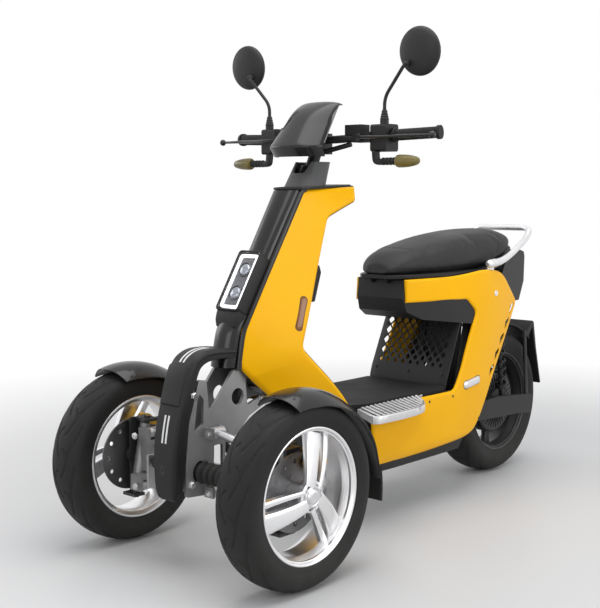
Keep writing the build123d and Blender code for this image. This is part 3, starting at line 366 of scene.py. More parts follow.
def cut_out(mesh, cutter):
    """A mesh less the closed solids of a cutter mesh."""
    thing, tool = placed(mesh.name, mesh), placed("cutter", cutter)
    cut = thing.modifiers.new("cut", "BOOLEAN")
    cut.operation, cut.solver, cut.object = "DIFFERENCE", "EXACT", tool
    result = settled(thing)
    bpy.data.objects.remove(tool)
    return result


def dressed(mesh, material, crease=None):
    """Shade a mesh smooth in one material; edges sharper than crease degrees stay sharp."""
    mesh.polygons.foreach_set("use_smooth", np.ones(len(mesh.polygons), bool))
    if crease:
        mesh.set_sharp_from_angle(angle=math.radians(crease))
    mesh.materials.clear()
    mesh.materials.append(material)


def eased_edges(thing, width, segments, angle):
    """A bevel of a given width on an object's edges sharper than an angle in degrees."""
    soft = thing.modifiers.new("soft_edges", "BEVEL")
    soft.width, soft.segments, soft.limit_method = width, segments, "ANGLE"
    soft.angle_limit = math.radians(angle)
    soft.harden_normals = True


def piece(name, grids, material, body, slot=None, stands_for=(), crease=32.0, bevel=0.0,
          mirrored=False, holes=()):
    """A piece of the object from its point grids, in metres from the front axle. Edges
    sharper than crease stay sharp, and closed grids named as holes are cut out of it."""
    mesh = welded_mesh(name, grids, mirrored)
    if holes:
        mesh = cut_out(mesh, welded_mesh("cutter", holes, mirrored))
    dressed(mesh, material, crease)
    thing = placed(name, mesh)
    if bevel:
        eased_edges(thing, bevel, 2, 40)
    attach(thing, body)
    if stands_for:
        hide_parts(*stands_for)


def pair(name, grids, material, body, slot=None, stands_for=(), whole=(), **how):
    """The same piece on the left and, mirrored, on the right. Each stands for the CAD nodes
    of its side, and the left one also for a whole node, which holds both sides."""
    for side in ("left", "right"):
        owner = body if body in frame["bodies"] else body + "_" + side
        own = tuple(node + "_" + side for node in stands_for)
        piece(name + "_" + side, grids, material, owner, slot,
              own + whole if side == "left" else own, mirrored=side == "right", **how)


def hermite(at, places, values):
    """Smooth curve through values at places: cubic pieces whose slopes are the mean slope of
    the two runs beside each point."""
    places, values = np.asarray(places, float), np.asarray(values, float)
    runs = np.diff(values, axis=0) / np.diff(places).reshape((-1,) + (1,) * (values.ndim - 1))
    slopes = np.concatenate([runs[:1], (runs[1:] + runs[:-1]) / 2, runs[-1:]])
    at = np.clip(at, places[0], places[-1])
    i = np.clip(np.searchsorted(places, at, "right") - 1, 0, len(places) - 2)
    width = places[i + 1] - places[i]
    t = (at - places[i]) / width
    if values.ndim > 1:
        t, width = t[..., None], width[..., None]
    return ((2 * t**3 - 3 * t**2 + 1) * values[i] + (t**3 - 2 * t**2 + t) * width * slopes[i]
            + (3 * t**2 - 2 * t**3) * values[i + 1] + (t**3 - t**2) * width * slopes[i + 1])


def run_lengths(line):
    """The length of each run between the points of a line."""
    return np.linalg.norm(np.diff(line, axis=0), axis=1)


def distances(line):
    """How far along a line each of its points lies."""
    return np.concatenate([[0], np.cumsum(run_lengths(line))])


def distinct(line, gap):
    """The line without the points that lie within a gap of the one before."""
    return line[np.concatenate([[True], run_lengths(line) > gap])]


def evened(line, count):
    """The line again as count points at even distances."""
    along = distances(line)
    at = np.linspace(0, along[-1], count)
    return np.stack([np.interp(at, along, line[:, k]) for k in range(line.shape[1])], 1)


def through(points, count):
    """A smooth line of count points through a few given ones, by distance along them."""
    points = np.asarray(points, float)
    along = distances(points)
    return hermite(np.linspace(0, along[-1], count), along, points)


def ring(outline):
    """The closed outline with its first point again at the end."""
    return np.concatenate([outline, outline[:1]])


def corner_arcs(corners, radius, steps, before, after):
    """Each corner eased by a parabola from a point before it to a point after it, radius away
    or at most 0.45 of the run; the two points are given as well."""
    reach = np.broadcast_to(np.asarray(radius, float), (len(corners),))
    a, b = (corners + run * np.minimum(reach / (np.linalg.norm(run, axis=1) + 1e-9),
                                       0.45)[:, None] for run in (before, after))
    t = np.linspace(0, 1, steps)[None, :, None]
    return ((1 - t)**2 * a[:, None] + 2 * t * (1 - t) * corners[:, None]
            + t**2 * b[:, None]), a, b


def rounded(corners, radius, steps=6, closed=True):
    """A closed line with eased corners, or an open one that keeps its first and last point."""
    corners = np.asarray(corners, float)
    before = np.roll(corners, 1, 0) - corners
    after = np.roll(corners, -1, 0) - corners
    if not closed:
        before[[0, -1]] = after[[0, -1]] = 0
    eased = corner_arcs(corners, radius, steps, before, after)[0]
    return distinct(eased.reshape(-1, corners.shape[1]), 1e-7)


def oblong(half_wide, half_tall, radius, steps=4):
    """The closed outline of a rectangle about its middle, with eased corners."""
    return ring(rounded([(-half_wide, -half_tall), (half_wide, -half_tall),
                         (half_wide, half_tall), (-half_wide, half_tall)], radius, steps))


def powered(value, power):
    """The size of a value raised to a power, with the value's sign."""
    return np.sign(value) * np.abs(value) ** power


def closed_ends(grid):
    """A tube of closed sections with both ends drawn in to their middles."""
    first, last = grid[:1].mean(1, keepdims=True), grid[-1:].mean(1, keepdims=True)
    columns = grid.shape[1]
    return np.concatenate([np.repeat(first, columns, 1), grid, np.repeat(last, columns, 1)])


def carried(section, path, across=(1.0, 0.0, 0.0), sizes=None):
    """A closed section of (side, out) carried along a path: side is measured along across
    made square to the path, and out along the path's direction turned from it."""
    path, across = np.asarray(path, float), np.asarray(across, float)
    way = np.gradient(path, axis=0)
    way = way / np.linalg.norm(way, axis=1, keepdims=True)
    side = across - (way @ across)[:, None] * way
    side = side / np.linalg.norm(side, axis=1, keepdims=True)
    out = np.cross(side, way)
    sizes = np.ones((len(path), 2)) if sizes is None else np.asarray(sizes, float)
    return closed_ends(path[:, None]
                       + side[:, None] * (section[None, :, :1] * sizes[:, None, :1])
                       + out[:, None] * (section[None, :, 1:] * sizes[:, None, 1:]))


def circle(radius, count=20):
    """A round section, closed on itself."""
    angle = np.linspace(0, 2 * np.pi, count + 1)
    return np.stack([np.cos(angle), np.sin(angle)], 1) * radius


def pipe(path, radii, sides=28, across=(0.0, 0.0, 1.0)):
    """A round tube along the points of a path, with a radius at each."""
    return carried(circle(1.0, sides), path, across, np.stack([radii, radii], 1))


def prism(outline, way):
    """A closed prism: a flat outline of points moved by a vector both ways."""
    return closed_ends(np.stack([outline - way, outline + way]))


def turned(profile, centre, count=96, axis=0):
    """A profile of (along, radius) turned about an axis through a centre."""
    profile = np.asarray(profile, float)
    angle = np.linspace(0, 2 * np.pi, count + 1)[:, None]
    along = np.broadcast_to(profile[:, 0], (count + 1, len(profile)))
    turn = [along, profile[:, 1] * np.sin(angle), profile[:, 1] * np.cos(angle)]
    return np.stack(turn[-axis:] + turn[:-axis] if axis else turn, -1) + np.asarray(centre)


def dome(centre, half, rows=20, columns=32):
    """A closed ellipsoid of half sizes about a centre."""
    up = np.linspace(-np.pi / 2, np.pi / 2, rows)[:, None]
    turn = np.linspace(0, 2 * np.pi, columns + 1)[None]
    shape = [np.cos(up) * np.cos(turn), np.cos(up) * np.sin(turn), np.sin(up) + 0 * turn]
    return np.stack(shape, -1) * np.asarray(half) + np.asarray(centre)


def bolt(at, way, size=0.008, height=0.005):
    """A hexagon head on its washer at a point, standing along a direction."""
    way = np.asarray(way, float) / np.linalg.norm(way)
    side = np.cross(way, (0.31, 0.52, 0.79))
    side = side / np.linalg.norm(side)
    up = np.cross(way, side)
    six = np.arange(7) * np.pi / 3
    rows = np.array([(0, 1.25), (0.25, 1.25), (0.25, 1.0), (0.85, 1.0), (1.0, 0.86)])
    spots = (side * np.cos(six)[:, None] + up * np.sin(six)[:, None])[None] * size
    return closed_ends(np.asarray(at) + rows[:, :1, None] * way * height
                       + spots * rows[:, 1:, None])


# ---- Bolts and cross spring of the front axle ----
# Zinc-plated hexagon screws hold the tilting arms and the casting. The cross-wise spring
# unit works inside a pleated rubber bellows.
zinc = finish("zinc", (0.62, 0.62, 0.63), 0.24, metal=1.0, uneven=0.1, grain_depth=0.00001)
rubber = finish("rubber", (0.011, 0.011, 0.011), 0.55, uneven=0.18, grain_size=0.0015,
                grain_depth=0.00008, dusty=0.3, Specular_IOR_Level=0.25)
arm_y = -0.018
arm_ends = [(0.056, 0.352), (0.056, 0.200), (0.228, 0.306), (0.228, 0.166)]
heads = [bolt((x, arm_y - 0.029 - 0.003 * (x > 0.1), z), (0, -1, 0), 0.008, 0.006)
         for x, z in arm_ends]
heads += [bolt((0.0393, y, z), (1, 0, 0), 0.009, 0.007)
          for y, z in ((-0.080, 0.452), (0.112, 0.492), (0.252, 0.438), (0.02, 0.345),
                       (-0.090, 0.225), (0.165, 0.415))]
pair("axle_bolt", heads, zinc, "body", "steel", crease=20)

spring_y, spring_z = -0.054, 0.252
spring_end = 0.1497
pleats = 13
along = np.linspace(-1, 1, 260)
wave = np.abs(np.cos(along * pleats * np.pi / 2))
barrel = np.where(np.abs(along) < 0.82, 0.017 + 0.011 * wave ** 0.7,
                  np.where(np.abs(along) < 0.9, 0.0195, 0.010))
bellows = np.stack([along * (spring_end - 0.0005), barrel], 1)
bellows = np.concatenate([[[bellows[0, 0], 0]], bellows, [[bellows[-1, 0], 0]]])
piece("bellows", [turned(bellows, (0, spring_y, spring_z), 56)], rubber, "body",
      "spring_black", ("tilt_spring",), crease=50)

# ---- Tyres ----
# Tubeless road tyres with a round crown. The tread has long grooves that sweep from the
# middle to the shoulder, and a fine line where tread and wall meet.
tyre_rubber = finish("tyre_rubber", (0.009, 0.009, 0.0093), 0.58, uneven=0.16,
                     grain_size=0.0013, grain_depth=0.00010, cell_share=0.2, dusty=0.16,
                     tint=(0.014, 0.014, 0.014), Specular_IOR_Level=0.25)
rim_lip_r = 0.1695
groove_depth, groove_half = 0.0030, 0.0021
front_r = (axle_high.z - axle_low.z) / 2


def tyre(radius, half_width, rim_half, pitches, around, across):
    """A tyre: a smooth half section from the rim's lip over the wall to the crown and back,
    turned about the axle. Grooves sink it: each follows angle = start + sweep times a power
    of the share of the way from crown to shoulder."""
    wall = radius - rim_lip_r
    half = np.array([(rim_half - 0.010, 0.1585), (rim_half - 0.0045, rim_lip_r - 0.003),
                     (rim_half + 0.001, rim_lip_r + 0.0015),
                     (half_width * 0.945, rim_lip_r + 0.17 * wall),
                     (half_width * 0.998, rim_lip_r + 0.42 * wall),
                     (half_width * 0.955, rim_lip_r + 0.66 * wall),
                     (half_width * 0.80, rim_lip_r + 0.84 * wall),
                     (half_width * 0.48, radius - 0.045 * wall), (0, radius)])
    whole = np.concatenate([half, (half * [-1, 1])[-2::-1]])
    line = through(whole, across)
    x, r = line[:, 0], line[:, 1]
    slope = np.gradient(line, axis=0)
    outward = np.stack([-slope[:, 1], slope[:, 0]], 1) / np.linalg.norm(slope, axis=1)[:, None]
    outward *= np.sign((outward * [[0, 1]]).sum(1).mean())
    share = np.abs(x) / (half_width * 0.93)
    angle = np.linspace(0, 2 * np.pi, around + 1)[:, None]
    pitch = 2 * np.pi / pitches
    cut = np.zeros((around + 1, across))
    for start, sweep, power, low, high in ((0.0, 1.55, 1.6, 0.03, 0.93),
                                           (0.42, 1.10, 2.2, 0.30, 0.88),
                                           (0.75, -0.55, 1.2, 0.10, 0.42)):
        middle = (start + sweep * share ** power) * pitch + np.where(x > 0, 0, pitch * 0.5)
        lean = np.gradient(middle, share, edge_order=1) / (half_width * 0.93) * r
        offset = (angle - middle + pitch / 2) % pitch - pitch / 2
        away = np.abs(offset) * r / np.sqrt(1 + lean ** 2)
        ends = np.clip((share - low) / 0.03, 0, 1) * np.clip((high - share) / 0.05, 0, 1)
        cut = np.maximum(cut, np.clip(1.5 - away / groove_half, 0, 1) * ends)
    seam = np.exp(-((share - 0.985) / 0.012) ** 2) * (r > rim_lip_r + 0.4 * wall) * 0.0007
    sunk = (cut * groove_depth + seam)
    bx, br = x - outward[:, 0] * sunk, r - outward[:, 1] * sunk
    grid = np.stack([bx, br * np.sin(angle), br * np.cos(angle)], -1)
    return np.concatenate([grid, grid[:, :1]], 1)


half_track = (axle_low.x + axle_high.x) / 2
front_axle = np.array([half_track, 0, front_r])
front_rim_half = 0.052
tread = tyre(front_r, (axle_high.x - axle_low.x) / 2, front_rim_half, 13, 676, 72)
pair("front_tyre_skin", [tread + front_axle], tyre_rubber, "front_wheel", "tyre",
     ("front_tyre",), crease=55)

# ---- Front rims ----
# Cast alloy, diamond polished: a deep dish, three split spokes that lean in from the hub, a
# dished hub ring with five screws, and the domed cap over the axle nut.
polished = finish("polished_alloy", (0.80, 0.80, 0.81), 0.27, metal=1.0, uneven=0.09,
                  grain_size=0.003, grain_depth=0.00002, dusty=0.06)
cap_alloy = finish("cap_alloy", (0.66, 0.66, 0.67), 0.28, metal=1.0, uneven=0.1)
spoke_root, spoke_tip = 0.022, 0.153


def spread(along, reach, beside, angle):
    """A closed bar in a wheel: its points lie at a reach from the axis on a ray at an angle,
    beside that ray, and along the axis."""
    c, s = math.cos(angle), math.sin(angle)
    along = np.broadcast_to(along, np.broadcast(reach, beside).shape)
    return closed_ends(np.stack([along, reach * s + beside * c, reach * c - beside * s], -1))


def spoke(phase, lane_in, lane_out, wide_in, wide_out, thick=0.013, bow=0.0):
    """One blade of a spoke, from the hub to the barrel: a rounded box section, flat at the
    back so that it clears the caliper. Lane is how far its middle lies beside the radius, and
    it leans in towards the wheel's middle as it nears the rim."""
    share = np.linspace(0, 1, 26)[:, None]
    reach = spoke_root + (spoke_tip - spoke_root) * share
    lane = lane_in + (lane_out - lane_in) * share + bow * np.sin(np.pi * share)
    wide = wide_in + (wide_out - wide_in) * share ** 1.3
    proud = 0.047 - 0.030 * share ** 1.4
    turn = np.linspace(0, 2 * np.pi, 29)[None]
    box_side = powered(np.cos(turn), 0.45)
    box_out = np.maximum(powered(np.sin(turn), 0.55), -0.55)
    return spread(proud + box_out * thick * (0.75 + 0.45 * share), reach,
                  lane + box_side * wide / 2, phase)


barrel_line = np.array([(-0.052, 0.1640), (-0.052, 0.1695), (-0.0470, 0.1695),
                        (-0.0445, 0.1575), (0.0445, 0.1575), (0.0470, 0.1695),
                        (0.0520, 0.1695), (0.0530, 0.1660), (0.0505, 0.1625),
                        (0.0400, 0.1585), (0.0280, 0.1540), (0.0180, 0.1500),
                        (-0.0300, 0.1490), (-0.0440, 0.1530), (-0.052, 0.1640)])
hub_line = np.array([(-0.0032, 0.0), (-0.0032, 0.034), (0.030, 0.036), (0.044, 0.041),
                     (0.0515, 0.039), (0.0535, 0.034), (0.0480, 0.0305), (0.0470, 0.022),
                     (0.0470, 0.0)])
blades = []
for number in range(3):
    phase = math.radians(18 + 120 * number)
    blades.append(spoke(phase, -0.013, -0.014, 0.034, 0.056, bow=-0.002))
    blades.append(spoke(phase, 0.020, 0.033, 0.013, 0.018, thick=0.011, bow=0.003))
pair("front_rim_cast", [turned(rounded(barrel_line, 0.0016, 4), front_axle, 168),
                        turned(hub_line, front_axle, 72)]
     + [blade + front_axle for blade in blades],
     polished, "front_wheel", "alloy", ("front_rim",), crease=38)

cap_line = np.array([(0.046, 0), (0.046, 0.0265), (0.0525, 0.0275), (0.0565, 0.0262),
                     (0.0570, 0.0225), (0.0545, 0.0205), (0.0560, 0.0190), (0.0600, 0.0175),
                     (0.0615, 0.0120), (0.0610, 0)])
screw_circle = 0.0335
screws = [bolt(front_axle + [0.0500, screw_circle * math.sin(a), screw_circle * math.cos(a)],
               (1, 0, 0), 0.0042, 0.005) for a in np.arange(5) * 2 * np.pi / 5 + 0.3]
nut = bolt(front_axle + [0.0560, 0, 0], (1, 0, 0), 0.0125, 0.0045)
pair("hub_cap", [turned(rounded(cap_line, 0.0015, 4, closed=False), front_axle, 60), nut]
     + screws, cap_alloy, "front_wheel", "alloy", crease=30)

# ---- Brake calipers ----
# Cast two-piston calipers, anodised gold, with their pad pins and banjo fittings.
gold = finish("gold_anodised", (0.72, 0.42, 0.06), 0.30, metal=0.9, uneven=0.12,
              grain_size=0.0014, grain_depth=0.00006, dusty=0.15, tint=(0.62, 0.36, 0.05))
repaint(gold, "caliper_left", "caliper_right")

# ---- Front fenders ----
# Moulded in gloss black: a strip over each front tyre with a full crown and low sides, which
# narrows behind the wheel and ends in a thick rubber flap.
fender_wall = 0.0035


def hugger(angles, share, wall):
    """A crowned strip about the axle: at each angle it has a crown radius and a half width,
    and across it falls from the crown by drop times the share of the width to the 2.4."""
    radius = hermite(angles, np.radians([-16, 10, 40, 66, 85, 104]),
                     [0.2600, 0.2580, 0.2585, 0.2635, 0.2735, 0.2870])[:, None]
    half = hermite(angles, np.radians([-16, -8, 40, 66, 80, 104]),
                   [0.0690, 0.0700, 0.0700, 0.0620, 0.0520, 0.0460])[:, None]
    drop = hermite(angles, np.radians([-16, 0, 34, 60, 80, 104]),
                   [0.0340, 0.0370, 0.0280, 0.0160, 0.0070, 0.0040])[:, None]
    height = radius - drop * np.abs(share) ** 2.4 - wall
    side = half * share - np.sign(share) * wall * np.abs(share) ** 4
    peak = 0.05 * (1 - np.abs(share)) * np.clip(1 - (angles[:, None] + 0.28) / 0.2, 0, 1)
    turn = angles[:, None] - peak
    return np.stack([side, height * np.sin(turn), height * np.cos(turn)], -1) + front_axle


def shell(outer, inner):
    """A closed wall between an outer grid and the grid inside it."""
    loop = np.concatenate([outer, inner[:, ::-1], outer[:, :1]], 1)
    return [loop, np.stack([outer[0], inner[0]]), np.stack([outer[-1], inner[-1]])]


strip_angles = np.radians(np.linspace(-16, 92, 110))
strip_share = np.linspace(-1, 1, 49)[None]
pair("front_fender_shell", shell(hugger(strip_angles, strip_share, 0.0),
                                 hugger(strip_angles, strip_share, fender_wall)),
     gloss_black, "knuckle", "black_gloss", ("front_fender",), crease=40, bevel=0.0008)
flap_angles = np.radians(np.linspace(84, 104, 24))
flap_share = np.linspace(-0.97, 0.97, 19)[None]
pair("front_flap", shell(hugger(flap_angles, flap_share, -0.0045),
                         hugger(flap_angles, flap_share, -0.0002)),
     rubber, "knuckle", "rubber", crease=40, bevel=0.0012)
screw_reach, screw_turn = 0.2790, 1.52
screw_spot = screw_reach * np.array([0, math.sin(screw_turn), math.cos(screw_turn)])
flap_screws = [bolt(front_axle + screw_spot + [x, 0, 0], (0, 1, 0), 0.005, 0.003)
               for x in (-0.03, 0.03)]
pair("flap_screw", flap_screws, zinc, "knuckle", "steel", crease=20)

# ---- Front guard ----
# A stiff black moulding that runs out from the foot of the column and drops in front of the
# axle. It has a raised pad on its face, plain silver lines above and below it, and a dimple.
guard_line = through([(0, 0.070, 0.5565), (0, 0.010, 0.5625), (0, -0.040, 0.5605),
                      (0, -0.0745, 0.5450), (0, -0.0975, 0.5150), (0, -0.1180, 0.4550),
                      (0, -0.1375, 0.3900), (0, -0.1480, 0.3300), (0, -0.1515, 0.2750),
                      (0, -0.1495, 0.2250), (0, -0.1440, 0.1960), (0, -0.1330, 0.1860)], 150)
guard_corners = [(-0.036, 0.0), (0.036, 0.0), (0.043, -0.008), (0.0445, -0.017),
                 (0.0405, -0.0195), (0.0415, -0.040), (-0.0415, -0.040), (-0.0405, -0.0195),
                 (-0.0445, -0.017), (-0.043, -0.008)]
guard_section = ring(rounded(guard_corners, 0.0028, 4))
guard_share = np.linspace(0, 1, len(guard_line))
guard_wide = hermite(guard_share, [0, 0.25, 0.5, 0.8, 0.97, 1],
                     [0.98, 0.94, 1.0, 0.94, 0.80, 0.70])
guard_thick = hermite(guard_share, [0, 0.3, 0.6, 0.9, 1], [0.55, 0.85, 1.0, 0.95, 0.55])
# the path runs from the column downwards, so the section's outside is on its right hand
guard_grid = carried(guard_section, guard_line, (-1, 0, 0),
                     np.stack([guard_wide, guard_thick], 1))
piece("front_guard", [guard_grid], satin_black, "body", "black_plastic", ("front_shield",),
      crease=30)

guard_way = np.gradient(guard_line, axis=0)
guard_way /= np.linalg.norm(guard_way, axis=1, keepdims=True)
guard_out = np.cross(np.broadcast_to((-1.0, 0, 0), guard_way.shape), guard_way)


def on_guard(z_top, z_low, proud, count=40):
    """The stretch of the guard's middle line between two heights, lifted off it."""
    y, z = guard_line[:, 1], guard_line[:, 2]
    rows = (z <= z_top) & (z >= z_low) & (y < -0.02)
    return evened(guard_line[rows] + guard_out[rows] * proud, count)


pad_path = on_guard(0.530, 0.428, 0.0)
pad_share = np.linspace(-1, 1, len(pad_path))
pad_grow = np.clip((1 - np.abs(pad_share)) / 0.06, 0, 1) ** 0.5
pad_section = ring(rounded([(-0.037, -0.003), (-0.034, 0.0048), (0.034, 0.0048),
                            (0.037, -0.003)], 0.003, 5))
pad_sizes = np.stack([0.95 + 0.05 * pad_grow, 0.05 + 0.95 * pad_grow], 1)
piece("guard_pad", [carried(pad_section, pad_path, (-1, 0, 0), pad_sizes)], satin_black,
      "body", "black_plastic", crease=35)

silver_line = finish("silver_line", (0.68, 0.68, 0.68), 0.35, metal=0.3, uneven=0.08)
line_section = ring(rounded([(-0.003, -0.0006), (-0.003, 0.0005), (0.003, 0.0005),
                             (0.003, -0.0006)], 0.0004, 3))
upper_line = guard_line[(guard_line[:, 2] > 0.533) & (guard_line[:, 1] < 0.006)]
lines = []
for offset in (-0.0065, 0.0065):
    for stretch in (upper_line, on_guard(0.408, 0.335, 0.0)):
        lines.append(carried(line_section, evened(stretch, 40) + [offset, 0, 0], (-1, 0, 0)))
piece("guard_lines", lines, silver_line, "body", "alloy", crease=30)
dimple = np.array([(0, -0.0005), (0.0078, -0.0005), (0.0092, 0.0008), (0.0070, 0.0012),
                   (0.0040, 0.0002), (0, 0.0001)])
dimple_ring = turned(dimple[:, ::-1], (0, 0, 0), 40, axis=1) * [1, 1, 1.5]
piece("guard_dimple", [dimple_ring * [1, -1, 1] + [0, -0.1512, 0.268]], gloss_black, "body",
      crease=50)

# ---- Column cover ----
# A long moulding in gloss black with a round front, from the guard up to the handlebar. A
# groove sets off the narrow edge strips beside the yellow panels.
knee_z, knee_y = 0.599, 0.088


def column_edge(z):
    """Y of the column's front edge line: steep below the knee, leaning back above it, with
    the corner eased over two centimetres."""
    above = knee_y + (z - knee_z) * 0.625
    below = knee_y + (z - knee_z) * 0.19
    return (above + below) / 2 + np.sqrt(((above - below) / 2) ** 2 + 0.004 ** 2)


column_half, column_nose = 0.0405, 0.036
column_z = np.linspace(0.507, 0.967, 70)[:, None]
lap = np.linspace(-1, 1, 61)[None]
column_x = column_half * np.sin(lap * np.pi / 2 * 0.96)
column_out = column_nose * np.cos(lap * np.pi / 2 * 0.96) ** 0.82
flare = 1 + 0.06 * np.clip((column_z - 0.80) / 0.17, 0, 1)
column_face = np.stack([column_x * flare, column_edge(column_z) - column_out,
                        column_z + 0 * lap], -1)
column_back = np.stack([column_x * flare * 0.93, column_edge(column_z) + 0.012 + 0 * lap,
                        column_z + 0 * lap], -1)
piece("column_front", shell(column_face, column_back), gloss_black, "body", "black_gloss",
      ("column_cover",), crease=40, bevel=0.001)

strip_z = np.linspace(0.500, 0.9685, 90)
strip_path = np.stack([0 * strip_z, column_edge(strip_z), strip_z], 1)
strip_path = np.concatenate([strip_path, [[0, column_edge(0.9685) + 0.02, 0.9705]]])
strip_section = ring(rounded([(-0.0035, -0.010), (-0.0035, 0.0045), (0.0035, 0.002),
                              (0.0045, -0.010)], 0.0015, 4))
strip = carried(strip_section, strip_path, (1, 0, 0))
pair("column_strip", [strip + [column_half + 0.0055, 0, 0]], gloss_black, "body", crease=35)

# ---- Head lamp ----
# A tall black box on the column whose face leans back with it. A bright frame of light runs
# round the sunk face, with two round projector lenses between, under a clear pane.
lamp_mid = np.array([0.0, column_edge(0.732) - 0.053, 0.732])
lamp_up = np.array([0.0, 0.53, 0.848])
lamp_out = np.array([0.0, -0.848, 0.53])


def on_lamp(grid):
    """Points of (across, up the face, out of the face) put in their place on the column."""
    return (lamp_mid + grid[..., :1] * np.array([1.0, 0, 0]) + grid[..., 1:2] * lamp_up
            + grid[..., 2:] * lamp_out)


def nested(half, tall, radius, steps):
    """Rounded oblongs inside each other, each as (inset, height), from the first to the last."""
    rings = []
    for inset, height in steps:
        w, h, r = half - inset, tall - inset, max(radius - inset, 0.0012)
        flat = oblong(w, h, r * 1.6, 6)
        rings.append(np.concatenate([flat, np.full((len(flat), 1), height)], 1))
    return np.stack(rings)


def filled(grid):
    """The same rings, with the last one drawn in to its middle."""
    middle = grid[-1:].mean(1, keepdims=True)
    return np.concatenate([grid, np.repeat(middle, grid.shape[1], 1)])


lamp_case = filled(nested(0.0415, 0.0905, 0.008, [
    (0.002, -0.058), (0.0, -0.030), (0.0, -0.004), (0.0008, -0.0015), (0.0025, 0.0),
    (0.0045, -0.0006), (0.0052, -0.002), (0.0056, -0.0115)]))
chin_path = np.array([(0, -0.084, -0.031), (0, -0.098, -0.0335), (0, -0.114, -0.037),
                      (0, -0.1275, -0.043), (0, -0.1310, -0.050)])
chin_flat = ring(rounded([(-0.0415, -0.027), (0.0415, -0.027), (0.040, 0.026),
                          (-0.040, 0.026)], 0.007, 5))
chin_size = np.array([(0.97, 1.0), (0.97, 1.0), (0.93, 0.98), (0.86, 0.88), (0.78, 0.62)])
chin = chin_path[:, None] + np.stack([chin_flat[None, :, 0] * chin_size[:, :1],
                                      np.zeros((5, len(chin_flat))),
                                      chin_flat[None, :, 1] * chin_size[:, 1:]], -1)
piece("lamp_case", [on_lamp(lamp_case), on_lamp(closed_ends(chin))], satin_black, "body",
      "black_gloss", ("headlight_housing",), crease=30)
lit = finish("lit_frame", (0.95, 0.96, 0.98), 0.35, uneven=0.02, Emission_Strength=1.1,
             Emission_Color=(0.95, 0.98, 1.0, 1))
light_frame = nested(0.0335, 0.0800, 0.006, [
    (0.0, -0.0115), (0.0, -0.0062), (0.0008, -0.0052), (0.0068, -0.0052), (0.0076, -0.0062),
    (0.0076, -0.0115)])
piece("light_frame", [on_lamp(light_frame)], lit, "body", "lamp_glass", crease=40)
dark_chrome = finish("dark_chrome", (0.16, 0.16, 0.17), 0.2, metal=1.0, uneven=0.1)
bezel = np.array([(-0.0115, 0.0215), (-0.0070, 0.0215), (-0.0058, 0.0208), (-0.0060, 0.0192),
                  (-0.0100, 0.0180), (-0.0110, 0.0)])
bulb = np.array([(-0.0105, 0.0180), (-0.0085, 0.0172), (-0.0060, 0.0140), (-0.0046, 0.0092),
                 (-0.0040, 0.0032), (-0.0038, 0.0)])
spots = [(0, 0.036, 0), (0, -0.034, 0)]
backing = filled(nested(0.0255, 0.072, 0.004, [(0.0, -0.0112), (0.0, -0.0100)]))
piece("lamp_bezels", [on_lamp(turned(bezel, spot, 40, axis=2)) for spot in spots]
      + [on_lamp(backing)], dark_chrome, "body", "black_gloss", crease=35)
optic = finish("optic", (0.30, 0.32, 0.36), 0.04, metal=0.65, coat=1.0, uneven=0.02)
piece("lamp_optics", [on_lamp(turned(bulb, spot, 40, axis=2)) for spot in spots], optic,
      "body", "lamp_glass", crease=60)
clear = finish("clear_pane", (0.9, 0.9, 0.92), 0.03, uneven=0.01, Transmission_Weight=1.0,
               IOR=1.2)
pane = nested(0.0353, 0.0846, 0.005, [(0.004, -0.0036), (0.0, -0.0036), (0.0, -0.0026)])
pane = np.concatenate([pane[:1].mean(1, keepdims=True).repeat(pane.shape[1], 1), pane])
piece("lamp_pane", [on_lamp(filled(pane))], clear, "body", "lamp_glass",
      ("headlight_lens",), crease=40)

# ---- Leg shield panels ----
# Painted mouldings on both sides of the column, from the handlebar's neck down to the floor.
# Their edges roll inwards, a fold runs back from the lower front corner, and a black trim
# follows the top and rear edges.
panel_wall = 0.0030


def border(corners, radius, steps=7, runs=14):
    """An open line of eased corners with straight runs between, as many points for each."""
    corners = np.asarray(corners, float)
    before = -np.diff(corners, axis=0, prepend=corners[:1])
    after = np.diff(corners, axis=0, append=corners[-1:])
    eased, a, b = corner_arcs(corners, radius, steps, before, after)
    along = np.linspace(0, 1, runs + 2)[None, 1:-1, None]
    straight = b[:-1, None] + (a[1:] - b[:-1])[:, None] * along
    return np.concatenate([np.concatenate([eased[:-1], straight], 1).reshape(-1, 2),
                           eased[-1]])


def from_edge(flat, outline):
    """How far each point of a flat grid lies from the nearest run of the closed outline."""
    start = outline[None]
    run = (np.roll(outline, -1, 0) - outline)[None]
    square = (run ** 2).sum(-1) + 1e-12
    points = flat.reshape(-1, 1, 2)
    share = np.clip(((points - start) * run).sum(-1) / square, 0, 1)[..., None]
    return np.linalg.norm(points - start - run * share, axis=-1).min(1).reshape(flat.shape[:-1])


def side_panel(first, second, surface, roll, fall, columns=40):
    """Outer and inner points of a side panel between two matched border lines of (y, z). Its
    x is surface(y, z), less a quarter-round fall over the roll's width at every edge."""
    share = (1 - np.cos(np.linspace(0, np.pi, columns)))[None, :, None] / 2
    flat = first[:, None] * (1 - share) + second[:, None] * share
    away = from_edge(flat, np.concatenate([first, second[::-1]]))
    rolled = 1 - np.sqrt(1 - np.clip(1 - away / roll, 0, 1) ** 2)
    x = surface(flat[..., 0], flat[..., 1]) - fall * rolled
    outer = np.stack([x, flat[..., 0], flat[..., 1]], -1)
    return outer, outer - [panel_wall, 0, 0]


shield_rows = np.array([(0.330, 0.420, 0.084, 0.160), (0.440, 0.340, 0.092, 0.150),
                        (0.520, 0.285, 0.092, 0.128), (0.600, 0.275, 0.082, 0.112),
                        (0.760, 0.345, 0.072, 0.098), (1.010, 0.480, 0.062, 0.088)])


